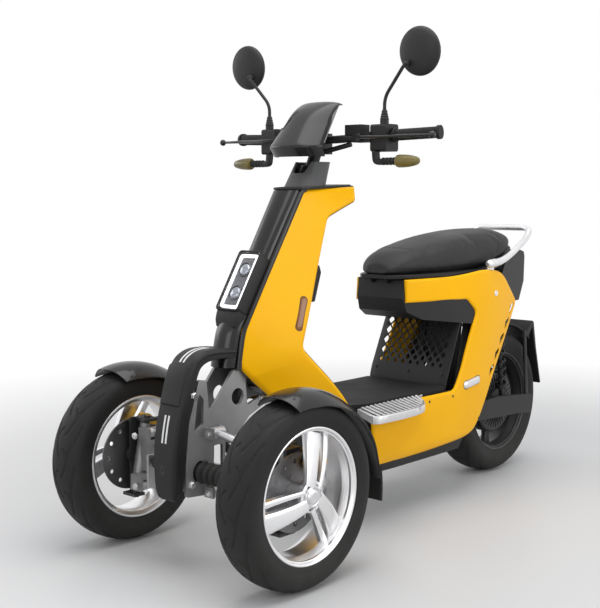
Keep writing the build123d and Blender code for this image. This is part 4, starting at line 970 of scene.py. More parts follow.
def shield_x(y, z):
    """X of the shield's side: at each height a parabola through its front, middle and rear
    edge, with a fold near the foot below which the surface turns in."""
    rear, mid_x, rear_x = hermite(z, shield_rows[:, 0], shield_rows[:, 1:]).transpose(2, 0, 1)
    front, front_x = column_edge(z), 0.0483
    u = np.clip((y - front) / (rear - front), -0.4, 1.6)
    x = (front_x * (1 - u) * (1 - 2 * u) + 4 * mid_x * u * (1 - u) + rear_x * u * (2 * u - 1))
    below = np.clip(0.470 + (y - 0.074) * 0.26 - z, 0, 0.10)
    return x - below * 0.22 * np.clip((0.235 - y) / 0.14, 0, 1)


shield_first = border([(0.300, 0.372), (0.200, 0.396), (0.112, 0.470), (0.0745, 0.509),
                       (0.079, 0.540), (0.0885, 0.599), (0.200, 0.780), (0.270, 0.893),
                       (0.306, 0.950), (0.3165, 0.968)], 0.016)
shield_second = border([(0.396, 0.374), (0.368, 0.410), (0.330, 0.455), (0.290, 0.500),
                        (0.252, 0.545), (0.270, 0.592), (0.345, 0.778), (0.393, 0.893),
                        (0.481, 0.938), (0.486, 0.977)],
                       [0.016] * 7 + [0.014, 0.006, 0.006])
shield_outer, shield_inner = side_panel(shield_first, shield_second, shield_x, 0.012, 0.008)
pair("shield_panel", shell(shield_outer, shield_inner), yellow_paint, "body", "yellow_paint",
     whole=("leg_shields",), crease=44)
trim_line = np.concatenate([shield_outer[:, -1], shield_outer[-1, ::-1]]) - [0.003, 0, 0]
trim_path, trim_r = evened(distinct(trim_line, 1e-5), 260), np.full(260, 0.0034)
pair("shield_trim", [pipe(trim_path, trim_r, 10, (1, 0, 0))], satin_black, "body",
     "black_plastic", crease=50)

amber = finish("amber_reflector", (0.20, 0.065, 0.006), 0.2, coat=0.4, uneven=0.04,
               grain_size=0.003, grain_depth=0.00012, cell_share=1.0)


def lozenge(low, high, half, proud, surface, columns=16):
    """A long round-ended button between two points (y, z), raised from a side's surface:
    proud in the middle and flush at its edge, by one less the sixth power of the share."""
    low, high = np.asarray(low), np.asarray(high)
    way = (high - low) / np.linalg.norm(high - low)
    beside = np.array([-way[1], way[0]])
    turn = np.linspace(0, 2 * np.pi, 49)
    end = np.where(np.sin(turn)[:, None] > 0, high, low)
    edge = end + half * (np.cos(turn)[:, None] * beside + np.sin(turn)[:, None] * way)
    share = np.linspace(0, 1, columns)[:, None, None]
    flat = (low + high) / 2 * (1 - share) + edge[None] * share
    x = surface(flat[..., 0], flat[..., 1]) + proud * (1 - share[..., 0] ** 6) - 0.0003
    return np.stack([x, flat[..., 0], flat[..., 1]], -1)


pair("side_reflector", [lozenge((0.2455, 0.6010), (0.2745, 0.6740), 0.0095, 0.0022,
                                shield_x)], amber, "body", "amber_lens", crease=60)
pair("reflector_seat", [lozenge((0.2452, 0.6000), (0.2748, 0.6750), 0.0118, 0.0009,
                                shield_x)], satin_black, "body", crease=60)

# ---- Neck cover and rear of the leg shield ----
# A grey collar tapers up round the steering stem from a black lid on the leg shield. Its top
# edge dips in front, where the stem's black sleeve shows.
collar_grey = finish("collar_grey", (0.075, 0.075, 0.077), 0.42, uneven=0.1,
                     grain_size=0.0011, grain_depth=0.00005)
repaint(satin_black, "column_rear_cover")
steer_lean = math.radians(26.6)
steer_up = np.array([0.0, math.sin(steer_lean), math.cos(steer_lean)])
steer_foot = np.array([0.0, 0.342, 0.892])


def steer_ring(height, half, deep, power, count=72):
    """A closed oblong round the steering axis at a height: its half width and depth are the
    sizes of a superellipse in the level plane."""
    middle = steer_foot + steer_up * (height - steer_foot[2]) / steer_up[2]
    turn = np.linspace(0, 2 * np.pi, count + 1)
    return middle + np.stack([half * powered(np.cos(turn), 2 / power),
                              deep * powered(np.sin(turn), 2 / power), 0 * turn], -1)


def collar_side(off):
    """Rings of the collar from its foot to its top edge, which dips in front."""
    heights = np.linspace(0, 1, 30)[:, None]
    low = steer_ring(0.971, 0.0560 - off, 0.052 - off, 2.5)
    high = steer_ring(1.046, 0.0450 - off, 0.046 - off, 2.5)
    front = np.clip(-(low[:, 1] - low[:, 1].mean()) / 0.052, 0, 1)
    dip = np.clip((front - 0.80) / 0.10, 0, 1) * np.clip((0.034 - np.abs(low[:, 0])) / 0.006,
                                                         0, 1)
    share = heights * (1 - 0.42 * dip[None])
    return low[None] * (1 - share[..., None]) + high[None] * share[..., None]


collar_grid = np.concatenate([collar_side(0.0), collar_side(0.0035)[::-1]])
collar_grid = np.concatenate([collar_grid, collar_grid[:1]])
piece("neck_collar", [collar_grid], collar_grey, "body", "grey_plastic", crease=40)
lid_outline = ring(rounded([(-0.052, 0.306), (0.052, 0.306), (0.0665, 0.400), (0.0885, 0.488),
                            (-0.0885, 0.488), (-0.0665, 0.400)], 0.012, 6))


def lid_ring(inset, height):
    """The lid's outline drawn in by a share and set at a height over the sloping top."""
    middle = np.array([0, 0.405])
    flat = middle + (lid_outline - middle) * (1 - inset)
    return np.stack([flat[:, 0], flat[:, 1],
                     0.9685 + (flat[:, 1] - 0.31) * 0.051 + height], -1)


lid = np.stack([lid_ring(0.02, -0.0005), lid_ring(0.0, 0.0012), lid_ring(0.0, 0.0042),
                lid_ring(0.03, 0.0062), lid_ring(0.25, 0.0072)])
piece("neck_lid", [closed_ends(lid)], satin_black, "body", "black_plastic", ("neck_cover",),
      crease=30)
sleeve = np.stack([steer_ring(0.968, 0.036, 0.036, 2.2), steer_ring(1.030, 0.034, 0.034, 2.2),
                   steer_ring(1.036, 0.031, 0.031, 2.2)])
piece("stem_sleeve", [closed_ends(sleeve)], gloss_black, "body", crease=35)

# ---- Body side panels ----
# Yellow C-shaped mouldings from beside the seat round to the floor. Five slanted slots run
# down the rear edge, a lock sits high up, and a silver peg rest lies flush in each side.
side_y = (0.380, 0.500, 0.700, 0.900, 1.060, 1.400)
side_levels = (0.160, 0.330, 0.600, 0.760)
side_sizes = ((0.138, 0.158, 0.166, 0.166, 0.152, 0.096),
              (0.148, 0.164, 0.168, 0.168, 0.158, 0.106),
              (0.012, 0.048, 0.0915, 0.1405, 0.158, 0.113),
              (0.010, 0.042, 0.0845, 0.1350, 0.152, 0.109))


def side_x(y, z):
    """X of the body's side: a smooth curve along Y at each of four levels, and between the
    levels a smooth blend in Z. Below the floor's edge it turns in by a parabola."""
    rows = [hermite(y, side_y, sizes) for sizes in side_sizes]
    x = rows[0]
    for low, high, row, above in zip(side_levels, side_levels[1:], rows, rows[1:]):
        share = np.clip((z - low) / (high - low), 0, 1)
        x = x + (above - row) * share ** 2 * (3 - 2 * share)
    return x - 8.8 * np.clip(0.215 - z, 0, 0.05) ** 2


def on_side(y, z):
    """The point of the body's side at a Y and a Z."""
    return np.array([float(side_x(np.array(y), np.array(z))), y, z])


side_outer_line = border([(0.736, 0.699), (0.930, 0.701), (1.085, 0.7165), (1.180, 0.7055),
                          (1.220, 0.6870), (1.3195, 0.596), (1.240, 0.489), (1.121, 0.330),
                          (1.046, 0.223), (0.990, 0.192), (0.752, 0.181), (0.512, 0.172)],
                         [0.014, 0.05, 0.05, 0.03, 0.02, 0.016, 0.03, 0.05, 0.07, 0.05, 0.05,
                          0.01])
side_inner_line = border([(0.736, 0.630), (0.880, 0.629), (0.960, 0.628), (0.983, 0.628),
                          (1.000, 0.613), (1.032, 0.585), (0.995, 0.510), (0.946, 0.417),
                          (0.913, 0.372), (0.893, 0.351), (0.700, 0.352), (0.486, 0.353)],
                         [0.014, 0.03, 0.01, 0.012, 0.012, 0.02, 0.02, 0.02, 0.02, 0.016, 0.03,
                          0.01])
side_outer, side_inner = side_panel(side_outer_line, side_inner_line, side_x, 0.008, 0.005, 56)
slots = []
for number in range(5):
    y, z = 1.2760 - 0.0355 * number, 0.577 - 0.0475 * number
    slot_flat = ring(rounded([(y - 0.018, z - 0.023), (y + 0.0145, z + 0.006),
                              (y + 0.016, z + 0.019), (y - 0.013, z + 0.006)], 0.004, 4))
    slots.append(prism(np.column_stack([np.full(len(slot_flat), 0.155), slot_flat]),
                       np.array([0.095, 0, 0])))
pair("body_side", shell(side_outer, side_inner), yellow_paint, "body", "yellow_paint",
     whole=("body_sides",), crease=44, holes=slots)

# a black liner lies behind the slots, along the panel's rear edge
liner_gap, liner_wall = 0.010, 0.0015
liner = side_inner[70:190, :26] - [liner_gap, 0, 0]
pair("side_liner", shell(liner, liner - [liner_wall, 0, 0]), satin_black, "body",
     "black_plastic", crease=40)
lock_silver = finish("lock_silver", (0.72, 0.72, 0.73), 0.25, metal=1.0, uneven=0.1)
lock_line = np.array([(-0.004, 0.0), (-0.004, 0.0095), (0.0016, 0.0095), (0.0030, 0.0080),
                      (0.0026, 0.0056), (0.0022, 0.0052), (0.0022, 0.0)])
pair("side_lock", [turned(lock_line, on_side(1.147, 0.635), 40)], lock_silver, "body", "alloy",
     crease=30)
side_screws = [bolt(on_side(y, z) - [0.0012, 0, 0], (1, 0, 0), 0.0042, 0.0022)
               for y, z in ((0.884, 0.335), (0.760, 0.335), (1.05, 0.24))]
pair("side_screw", side_screws, satin_black, "body", crease=20)
peg_silver = finish("peg_silver", (0.66, 0.66, 0.67), 0.33, metal=0.8, uneven=0.12,
                    grain_size=0.0012, grain_depth=0.00004, dusty=0.1)
pair("peg_rest", [lozenge((0.960, 0.3595), (1.036, 0.3675), 0.0125, 0.008, side_x)],
     peg_silver, "body", "alloy", whole=("pillion_pegs",), crease=60)
pair("peg_seat", [lozenge((0.958, 0.3592), (1.038, 0.3678), 0.0152, 0.0012, side_x)],
     satin_black, "body", crease=60)

# ---- Floor and foot plates ----
# A black rubber mat lies on the floor tray. Beside it an alloy foot plate stands out on each
# side, cast with cross ribs on top and a lip along its outer edge that two screws hold.
repaint(satin_black, "belly_pan")
mat_rubber = finish("mat_rubber", (0.012, 0.012, 0.012), 0.62, uneven=0.2, grain_size=0.0018,
                    grain_depth=0.00012, cell_share=0.7, Specular_IOR_Level=0.2)
repaint(mat_rubber, "floor_mat")
plate_alloy = finish("plate_alloy", (0.66, 0.66, 0.67), 0.36, metal=0.8, uneven=0.12,
                     grain_size=0.0011, grain_depth=0.00005, dusty=0.1)
plate_y = np.linspace(0.436, 0.745, 120)
plate_in, plate_out = 0.1515, hermite(plate_y, [0.436, 0.446, 0.470, 0.640, 0.690, 0.745],
                                      [0.2080, 0.2190, 0.2235, 0.2205, 0.2020, 0.1545])
plate_fall, plate_top, lip = 0.0165, 0.3580, 0.0075


def plate_line(share, height):
    """A line along the plate: a share of the way out to its edge, at a height."""
    return np.stack([plate_in + (plate_out - plate_in) * share, plate_y,
                     np.full_like(plate_y, height)], -1)


plate_lines = [plate_line(share, height - fall * plate_fall * share)
               for share, height, fall in (
                   (0.0, 0.342, 0), (0.0, plate_top - 0.0005, 0), (0.05, plate_top, 1),
                   (0.90, plate_top, 1), (0.905, plate_top + 0.0022, 1),
                   (0.985, plate_top + 0.0022, 1), (1.0, plate_top + 0.0004, 1),
                   (1.0, 0.3260, 0), (0.985, 0.3225, 0), (0.93, 0.3225, 0))]
plate_bits = [closed_ends(np.stack(plate_lines + plate_lines[:1], 1))]
rib_box = ring(rounded([(-0.0054, -0.001), (0.0054, -0.001), (0.0044, 0.0030),
                        (-0.0044, 0.0030)], 0.0012, 4))
rib_z = plate_top + 0.0004
for rib_y in 0.456 + 0.0196 * np.arange(14):
    edge = float(np.interp(rib_y, plate_y, plate_out))
    if edge - lip > 0.165:
        rib_low = rib_z - plate_fall * (edge - lip - plate_in) / (edge - plate_in)
        rib_run = np.linspace((0.1530, rib_y, rib_z), (edge - lip, rib_y, rib_low), 6)
        plate_bits.append(carried(rib_box, rib_run, (0, -1, 0)))
pair("foot_plate", plate_bits, plate_alloy, "body", "alloy", whole=("foot_plates",), crease=28)
tread_lines = [plate_line(share, height - plate_fall * share)[4:-8]
               for share, height in ((0.06, 0.3578), (0.06, 0.3586), (0.895, 0.3586),
                                     (0.895, 0.3578), (0.06, 0.3578))]
pair("foot_plate_tread", [closed_ends(np.stack(tread_lines, 1))], mat_rubber, "body",
     "rubber", crease=30)
pair("foot_plate_screw", [bolt((0.2235, 0.520, 0.340), (1, 0, 0), 0.0042, 0.003),
                          bolt((0.2215, 0.640, 0.340), (1, 0, 0), 0.0042, 0.003)],
     zinc, "body", "steel", crease=20)

# ---- Lattice panel under the seat ----
# A black moulded panel closes the front of the seat box. Rows of rounded diamonds are cut
# through it, and its foot curves out to meet the floor mat.
panel_line = border([(0.8672, 0.3525), (0.8680, 0.3680), (0.8770, 0.3950), (0.9475, 0.5540)],
                    [0.01, 0.012, 0.02, 0.01], 6, 16)
panel_half = np.interp(panel_line[:, 1], [0.3525, 0.400, 0.554], [0.1475, 0.1490, 0.1460])
panel_share = np.linspace(-1, 1, 61)[None]
wing = np.clip((np.abs(panel_share) - 0.82) / 0.18, 0, 1) ** 1.6
panel_face = np.stack([panel_half[:, None] * panel_share,
                       panel_line[:, :1] + 0.0035 * wing,
                       panel_line[:, 1:] + 0 * panel_share], -1)
panel_back = panel_face + [0, 0.0038, 0]
panel_way, panel_normal = np.array([0.0, 0.405, 0.914]), np.array([0.0, -0.914, 0.405])
diamonds = []
for row in range(9):
    up = 0.018 + 0.0168 * row
    grow = 0.62 + 0.38 * min(1.0, row / 3)
    for column in range(-4, 5):
        across = (column + 0.5 * (row % 2)) * 0.0290
        if abs(across) > 0.121:
            continue
        middle = np.array([across, 0.8825, 0.408]) + panel_way * up
        flat = ring(rounded([(-0.0122 * grow, 0), (0, -0.0142 * grow), (0.0122 * grow, 0),
                             (0, 0.0142 * grow)], 0.0035, 3))
        diamonds.append(prism(middle + flat[:, :1] * [1.0, 0, 0] + flat[:, 1:] * panel_way,
                              panel_normal * 0.014))
piece("lattice_panel", shell(panel_face, panel_back), satin_black, "body", "black_plastic",
      ("seat_front_panel",), crease=35, holes=diamonds)
panel_screws = [bolt((x, 0.8765 + (z - 0.395) * 0.443, z), (0, -0.914, 0.405), 0.0042, 0.002)
                for x, z in ((0.0, 0.397), (0.128, 0.399), (-0.128, 0.399), (0.128, 0.535),
                             (-0.128, 0.535))]
piece("panel_screws", panel_screws, frame_black, "body", "steel", crease=20)
guard_path = through([(0, 1.066, 0.300), (0, 1.070, 0.400), (0, 1.078, 0.500),
                      (0, 1.090, 0.584)], 30)
inner_guard = np.stack([guard_path + [x, 0, 0] for x in np.linspace(-0.064, 0.064, 9)], 1)
piece("inner_mudguard", shell(inner_guard, inner_guard + [0, 0.003, 0]), satin_black, "body",
      "black_plastic", crease=40)

# ---- Seat ----
# Moulded foam under one black leatherette cover, on a hard base that lifts about its front
# hinge. The cover has a seam across behind the nose and a welt along its lower edge.
leather = finish("seat_leather", (0.015, 0.015, 0.0155), 0.46, uneven=0.14, grain_size=0.0022,
                 grain_depth=0.00016, cell_share=0.85, tint=(0.022, 0.022, 0.0225),
                 Specular_IOR_Level=0.25)
seat_y = np.linspace(0.7035, 1.3865, 90)
seat_half = hermite(seat_y, [0.7030, 0.7100, 0.740, 0.800, 0.880, 0.980, 1.100, 1.200, 1.300,
                             1.345, 1.378, 1.388],
                    [0.052, 0.062, 0.084, 0.107, 0.124, 0.133, 0.129, 0.121, 0.103, 0.084,
                     0.058, 0.036]) - 0.004
seat_top = hermite(seat_y, [0.700, 0.736, 0.800, 0.876, 1.025, 1.184, 1.320, 1.370, 1.392],
                   [0.741, 0.7675, 0.7865, 0.8005, 0.8235, 0.8365, 0.8325, 0.821, 0.801]) - 0.004


def seat_foot(y):
    """Z of the seat's underside: level to the hips, then a smooth rise to the tail."""
    return hermite(y, [0.69, 1.05, 1.12, 1.20, 1.30, 1.40],
                   [0.7124, 0.7124, 0.7136, 0.7235, 0.7495, 0.7860])


seat_turn = np.linspace(0, 2 * np.pi, 81)[None]
seat_foot_z = seat_foot(seat_y)[:, None]
rise = (seat_top - seat_foot(seat_y))[:, None]
up_share = 0.5 + 0.5 * powered(np.sin(seat_turn), 0.46)
side_share = powered(np.cos(seat_turn), 0.36)
flared = 1.0 - 0.13 * up_share ** 3
crown = -0.010 * (side_share ** 2) * (up_share > 0.5) * (up_share - 0.5) * 2
cushion_grid = np.stack([side_share * flared * seat_half[:, None],
                         seat_y[:, None] + 0.012 * (up_share - 0.5)
                         * np.clip((0.80 - seat_y[:, None]) / 0.1, 0, 1),
                         seat_foot_z + 0.0008 + up_share * rise + crown], -1)


def points_of(mesh):
    """The places of a mesh's vertices."""
    places = np.empty(len(mesh.vertices) * 3)
    mesh.vertices.foreach_get("co", places)
    return places.reshape(-1, 3)


def swollen(name, grid, voxel, cap, pressure=4.0, frames=20):
    """A pad as its cover holds it: the grid's solid remeshed to even cells, filled with
    pressure as cloth, and each point moved by no more than cap from where it began."""
    thing = placed(name, welded_mesh(name, [closed_ends(grid)], False))
    cells = thing.modifiers.new("even_cells", "REMESH")
    cells.mode, cells.voxel_size = "VOXEL", voxel
    calm = thing.modifiers.new("calm", "SMOOTH")
    calm.factor, calm.iterations = 0.5, 6
    mesh = settled(thing)
    thing, start = placed(name, mesh), points_of(mesh)
    cloth = thing.modifiers.new("cover", "CLOTH")
    cloth.settings.use_pressure = True
    cloth.settings.uniform_pressure_force = pressure
    cloth.settings.effector_weights.gravity = 0.0
    cloth.settings.tension_stiffness = cloth.settings.compression_stiffness = 25
    cloth.settings.bending_stiffness = 2.0
    cloth.settings.quality = 6
    for number in range(1, frames + 1):
        bpy.context.scene.frame_set(number)
    full = settled(thing)
    bpy.context.scene.frame_set(1)
    move = points_of(full) - start
    length = np.linalg.norm(move, axis=1, keepdims=True) + 1e-9
    full.vertices.foreach_set("co", (start + move * np.minimum(1, cap / length)).ravel())
    return full


pan_side = ring(np.stack([np.concatenate([seat_half, -seat_half[::-1]]),
                          np.concatenate([seat_y, seat_y[::-1]])], 1)) * [1.02, 1]
pan_foot = seat_foot(pan_side[:, 1])
pan_rows = [np.stack([pan_side[:, 0] * grow, pan_side[:, 1], pan_foot + drop], -1)
            for grow, drop in ((0.94, -0.0112), (0.99, -0.0112), (1.0, -0.0095), (1.0, -0.001),
                               (0.985, 0.0002))]
piece("seat_pan", [closed_ends(np.stack(pan_rows))], satin_black, "seat", "black_plastic",
      ("seat_base",), crease=35)
cushion_mesh = swollen("seat_pad", cushion_grid, voxel=0.0070, cap=0.006)
pad_points = points_of(cushion_mesh) - [0, axle_y, 0]
pad_x, pad_y, pad_z = pad_points.T
pad_half = np.interp(pad_y, seat_y, seat_half)
pad_foot = seat_foot(pad_y)
# the cross seam and the welt draw the cover in by a bell-shaped groove
seam_y, welt_up = 0.797, 0.013
cross = pad_y - seam_y - 0.15 * (pad_z - 0.75)
welt = pad_z - pad_foot - welt_up
cross_dip = 0.0022 * np.exp(-(cross / 0.0045) ** 2) * (pad_z > pad_foot + 0.012)
welt_dip = 0.0018 * np.exp(-(welt / 0.004) ** 2) * (np.abs(pad_x) > pad_half * 0.75)
middle = np.stack([0 * pad_x, np.clip(pad_y, 0.80, 1.30), pad_foot + 0.045], 1)
inward = middle - pad_points
inward /= np.linalg.norm(inward, axis=1, keepdims=True)
pad_points += inward * np.maximum(cross_dip, welt_dip)[:, None]
pad_points[:, 2] = np.maximum(pad_points[:, 2], pad_foot + 0.0006)
cushion_mesh.vertices.foreach_set("co", (pad_points + [0, axle_y, 0]).ravel())
dressed(cushion_mesh, leather)
cushion = placed("seat_pad", cushion_mesh)
finer = cushion.modifiers.new("finer", "SUBSURF")
finer.levels = finer.render_levels = 1
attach(cushion, "seat")
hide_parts("seat_cushion")

# ---- Seat box, tail and rear fork ----
# Hard parts with broad flat faces: the box under the seat, the tail cover, the rear fork and
# the hugger over the tyre. Their edges are eased by the radius of the mould or the weld.


def softened(name, node, material, body, width):
    """A copy of a hard part: its triangles merged into flat faces, and its edges eased."""
    mesh = nodes[node].data.copy()
    merged = bmesh.new()
    merged.from_mesh(mesh)
    bmesh.ops.remove_doubles(merged, verts=merged.verts, dist=2e-5)
    bmesh.ops.dissolve_limit(merged, angle_limit=math.radians(1.0), verts=merged.verts,
                             edges=merged.edges)
    merged.to_mesh(mesh)
    merged.free()
    dressed(mesh, material, 35)
    thing = placed(name, mesh)
    eased_edges(thing, width, 3, 25)
    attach(thing, body)
    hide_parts(node)


softened("seat_box", "underseat_bin", satin_black, "body", 0.004)
softened("tail_cover", "tail_unit", gloss_black, "body", 0.005)
softened("rear_fork", "swingarm", frame_black, "body", 0.002)
softened("rear_hugger", "rear_fender", satin_black, "body", 0.0012)
red_lens = finish("red_lens", (0.16, 0.006, 0.006), 0.12, coat=0.8, uneven=0.04,
                  grain_size=0.004, grain_depth=0.0001, cell_share=1.0)
softened("tail_lens", "tail_light", red_lens, "body", 0.003)

# ---- Grab rail ----
# One bent alloy tube round the back of the seat, clear coated silver. Its front ends swell
# into feet that are screwed down to the frame through the side panels.
rail_silver = finish("rail_silver", (0.66, 0.66, 0.67), 0.3, metal=0.7, coat=0.2, uneven=0.08,
                     grain_depth=0.00001)
rail_half = [(0.148, 1.100, 0.731), (0.148, 1.200, 0.737), (0.120, 1.385, 0.803),
             (0.106, 1.432, 0.838)]
rail_route = np.array(rail_half + [(-x, y, z) for x, y, z in rail_half[::-1]])
rail_path = evened(rounded(rail_route, [0.01, 0.09, 0.05, 0.035, 0.035, 0.05, 0.09, 0.01], 12,
                           closed=False), 240)
rail_share = np.minimum(np.linspace(0, 1, 240), np.linspace(1, 0, 240))
rail_size = hermite(rail_share, [0, 0.006, 0.03, 0.075, 0.12, 0.5],
                    [0.006, 0.011, 0.0135, 0.0120, 0.0108, 0.0108])
foot_flat = np.pad(oblong(0.003, 0.019, 0.002), ((0, 0), (0, 1)))
rail_feet = [closed_ends(np.stack([foot_flat + [x, 1.131, z] for z in (0.7005, 0.722, 0.732)]))
             for x in (0.139, -0.139)]
piece("rail_tube", [pipe(rail_path, rail_size, 24)] + rail_feet, rail_silver, "body",
      "rail_silver", ("grab_rail",), crease=40)

# ---- Rear wheel ----
# A broad tyre on a black cast rim whose middle is the hub motor: a drum with fine cooling
# ribs all round, joined to the barrel by six arms.
rear_r, wheelbase = 0.2435, 1.335
rear_rim_half, rear_tyre_half = 0.058, 0.065
rear_axle = np.array([0.0, wheelbase, rear_r])
rear_tread = tyre(rear_r, rear_tyre_half, rear_rim_half, 14, 504, 60)
piece("rear_tyre_skin", [rear_tread + rear_axle], tyre_rubber, "rear_wheel", "tyre",
      ("rear_tyre",), crease=55)
cast_black = finish("cast_black", (0.016, 0.016, 0.017), 0.36, coat=0.2, uneven=0.12,
                    grain_size=0.0015, grain_depth=0.00008, dusty=0.3)
rear_barrel = barrel_line * [rear_rim_half / front_rim_half, 1]
drum = [(-0.044, 0.013), (-0.044, 0.070), (-0.042, 0.098), (-0.036, 0.110), (0.036, 0.110),
        (0.042, 0.098), (0.044, 0.070), (0.044, 0.013)]
drum_grid = turned(rounded(drum, 0.004, 4, closed=False), rear_axle, 120)
rim_parts = [turned(rounded(rear_barrel, 0.0016, 4), rear_axle, 132), drum_grid]
arm_x, arm_wide = oblong(0.0085, 0.014, 0.004).T[:, None]
arm_reach, arm_grow = np.array([[0.100, 0.125, 0.154], [1.15, 0.9, 1.3]])[..., None]
for angle in np.radians(np.arange(6) * 60.0):
    rim_parts.append(spread(arm_x, arm_reach, arm_wide * arm_grow, angle) + rear_axle)
rib_flat = ring(np.array([(-0.0016, 0.0), (0.0016, 0.0), (0.0009, 0.0048), (-0.0009, 0.0048)]))
rib_reach, rib_tall = np.array([[0.040, 0.072, 0.096], [1, 1, 0.3]])[..., None]
for side in (-1, 1):
    face = side * (0.0425 + rib_flat[None, :, 1] * rib_tall)
    for angle in np.arange(36) * 2 * np.pi / 36:
        rim_parts.append(spread(face, rib_reach, rib_flat[None, :, 0], angle) + rear_axle)
piece("rear_rim_cast", rim_parts, cast_black, "rear_wheel", "frame_paint", ("rear_rim",),
      crease=35)

# ---- Rear shocks ----
# Two black spring struts: a wound spring over the damper's rod, a threaded can above it, and
# a rubber-bushed eye at each end.
strut_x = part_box("rear_shocks")[1].x - 0.020
strut_foot, strut_head = np.array([strut_x, 1.290, 0.262]), np.array([strut_x, 1.238, 0.654])
strut_way = strut_head - strut_foot
strut_side = np.array([1.0, 0.0, 0.0])
strut_deep = np.cross(strut_way / np.linalg.norm(strut_way), strut_side)
coil_turns, coil_r, coil_low, coil_high = 9.5, 0.0175, 0.13, 0.78
wind = np.linspace(0, coil_turns, 420)
climb = coil_low + (coil_high - coil_low) * wind / coil_turns
coil_path = (strut_foot + climb[:, None] * strut_way
             + coil_r * (np.cos(wind * 2 * np.pi)[:, None] * strut_side
                         + np.sin(wind * 2 * np.pi)[:, None] * strut_deep))
strut_bits = [carried(circle(0.0036, 10), coil_path, tuple(strut_way))]


def strut_part(low, high, radii):
    """A round part on the strut between two shares of its length, with the given radii."""
    path = strut_foot + np.linspace(low, high, len(radii))[:, None] * strut_way
    return pipe(path, radii, 28, (1, 0, 0))


strut_bits += [strut_part(0.04, 0.96, [0.0085] * 8),
               strut_part(0.10, 0.135, [0.0195] * 4),
               strut_part(0.775, 0.81, [0.0195] * 4),
               strut_part(0.55, 0.92, [0.0125] * 6)]
eye = [(-0.0075, 0.0085), (-0.0075, 0.0135), (0.0075, 0.0135), (0.0075, 0.0085),
       (-0.0075, 0.0085)]
strut_bits += [turned(eye, spot, 32) for spot in (strut_foot, strut_head)]
pair("rear_strut", strut_bits, frame_black, "body", "spring_black", whole=("rear_shocks",),
     crease=40)

# ---- Handlebar controls ----
# Rubber grips with fine rings and an end flange, moulded switch cases with their clamps and
# fluid cups, and forged levers whose ends are balls.
softened("switch_cases", "switch_housings", satin_black, "steering", 0.003)
grip_in, grip_out = np.array([0.238, 0.484, 1.116]), np.array([0.366, 0.512, 1.121])
grip_share = np.linspace(0, 1.03, 330)
grip_rings = np.abs(np.sin(grip_share * np.pi * 30)) ** 0.7
grip_size = np.where((grip_share > 0.06) & (grip_share < 0.94), 0.0146 + 0.0013 * grip_rings,
                     np.where(grip_share < 0.045, 0.0198, np.where(grip_share > 0.955, 0.0188,
                                                                   0.0150)))
grip_path = grip_in + (grip_out - grip_in) * grip_share[:, None]
pair("grip", [pipe(grip_path, grip_size)], rubber, "steering", "rubber", whole=("grips",),
     crease=45)
lever_line = through([(0.150, 0.438, 1.112), (0.172, 0.431, 1.111), (0.200, 0.429, 1.110),
                      (0.250, 0.434, 1.110), (0.300, 0.440, 1.111), (0.350, 0.4435, 1.111),
                      (0.386, 0.446, 1.111)], 70)
lever_share = np.linspace(0, 1, 70)
lever_sizes = hermite(lever_share, [0, 0.12, 0.3, 0.7, 0.92, 1],
                      [(8.5, 5.5), (7.2, 5.2), (5.6, 4.6), (4.8, 4.4), (3.6, 3.6), (3.6, 3.6)])
lever_parts = [carried(circle(0.001, 20), lever_line, (0, 1, 0), lever_sizes),
               dome((0.388, 0.446, 1.111), (0.0095, 0.0095, 0.0095), 18, 26),
               turned([(-0.009, 0), (-0.009, 0.0075), (0.009, 0.0075), (0.009, 0)],
                      (0.150, 0.438, 1.112), 28, axis=2)]
pair("brake_lever", lever_parts, gloss_black, "steering", "frame_paint",
     whole=("brake_levers",), crease=40)

# ---- Mirrors ----
# Round mirrors in domed shells, on bent steel rods that rise from rubber boots. The shell's
# back faces ahead and the glass faces the rider.
mirror_out = np.array([0.0, -0.9945, -0.1045])
mirror_up = np.array([0.0, -0.1045, 0.9945])
mirror_mid = np.array([0.317, 0.486, 1.334])


def on_mirror(grid):
    """A part turned about the axis X, put on the mirror's own axis, which points ahead."""
    return (mirror_mid + grid[..., :1] * mirror_out + grid[..., 1:2] * np.array([1.0, 0, 0])
            + grid[..., 2:] * mirror_up)


mirror_shell = [(-0.0052, 0.0580), (-0.0070, 0.0592), (-0.0068, 0.0620), (-0.0040, 0.0645),
                (0.0005, 0.0650), (0.0060, 0.0622), (0.0110, 0.0555), (0.0155, 0.0440),
                (0.0188, 0.0270), (0.0200, 0.0100), (0.0202, 0.0)]
mirror_black = finish("mirror_black", (0.014, 0.014, 0.0145), 0.48, uneven=0.1,
                      grain_size=0.0009, grain_depth=0.00006, cell_share=0.6,
                      Specular_IOR_Level=0.28)
mirror_glass = finish("mirror_glass", (0.86, 0.87, 0.88), 0.02, metal=1.0, uneven=0.01,
                      grain_depth=0.0)
rod_line = evened(rounded([(0.214, 0.469, 1.1585), (0.214, 0.469, 1.217),
                           (0.285, 0.459, 1.297), (0.293, 0.474, 1.306)],
                          [0.01, 0.022, 0.006, 0.01], 10, closed=False), 80)
boot_wave = np.linspace(0, 1, 40)
boot_size = 0.0122 - 0.0055 * boot_wave + 0.0007 * np.sin(boot_wave * 2 * np.pi * 4)
boot_path = np.array([0.214, 0.469, 1.1585]) + boot_wave[:, None] * [0, 0, 0.026]
pair("mirror", [on_mirror(turned(through(mirror_shell, 60), (0, 0, 0), 72)),
                carried(circle(0.0048, 16), rod_line, (1, 0, 0)),
                pipe(boot_path, boot_size, 24, (1, 0, 0)),
                dome((0.289, 0.467, 1.302), (0.0085, 0.0115, 0.0085))],
     mirror_black, "steering", "mirror_shell", whole=("mirrors",), crease=40)
glass_line = [(-0.0040, 0.0), (-0.0056, 0.0), (-0.0056, 0.0575), (-0.0040, 0.0582),
              (-0.0040, 0.0)]
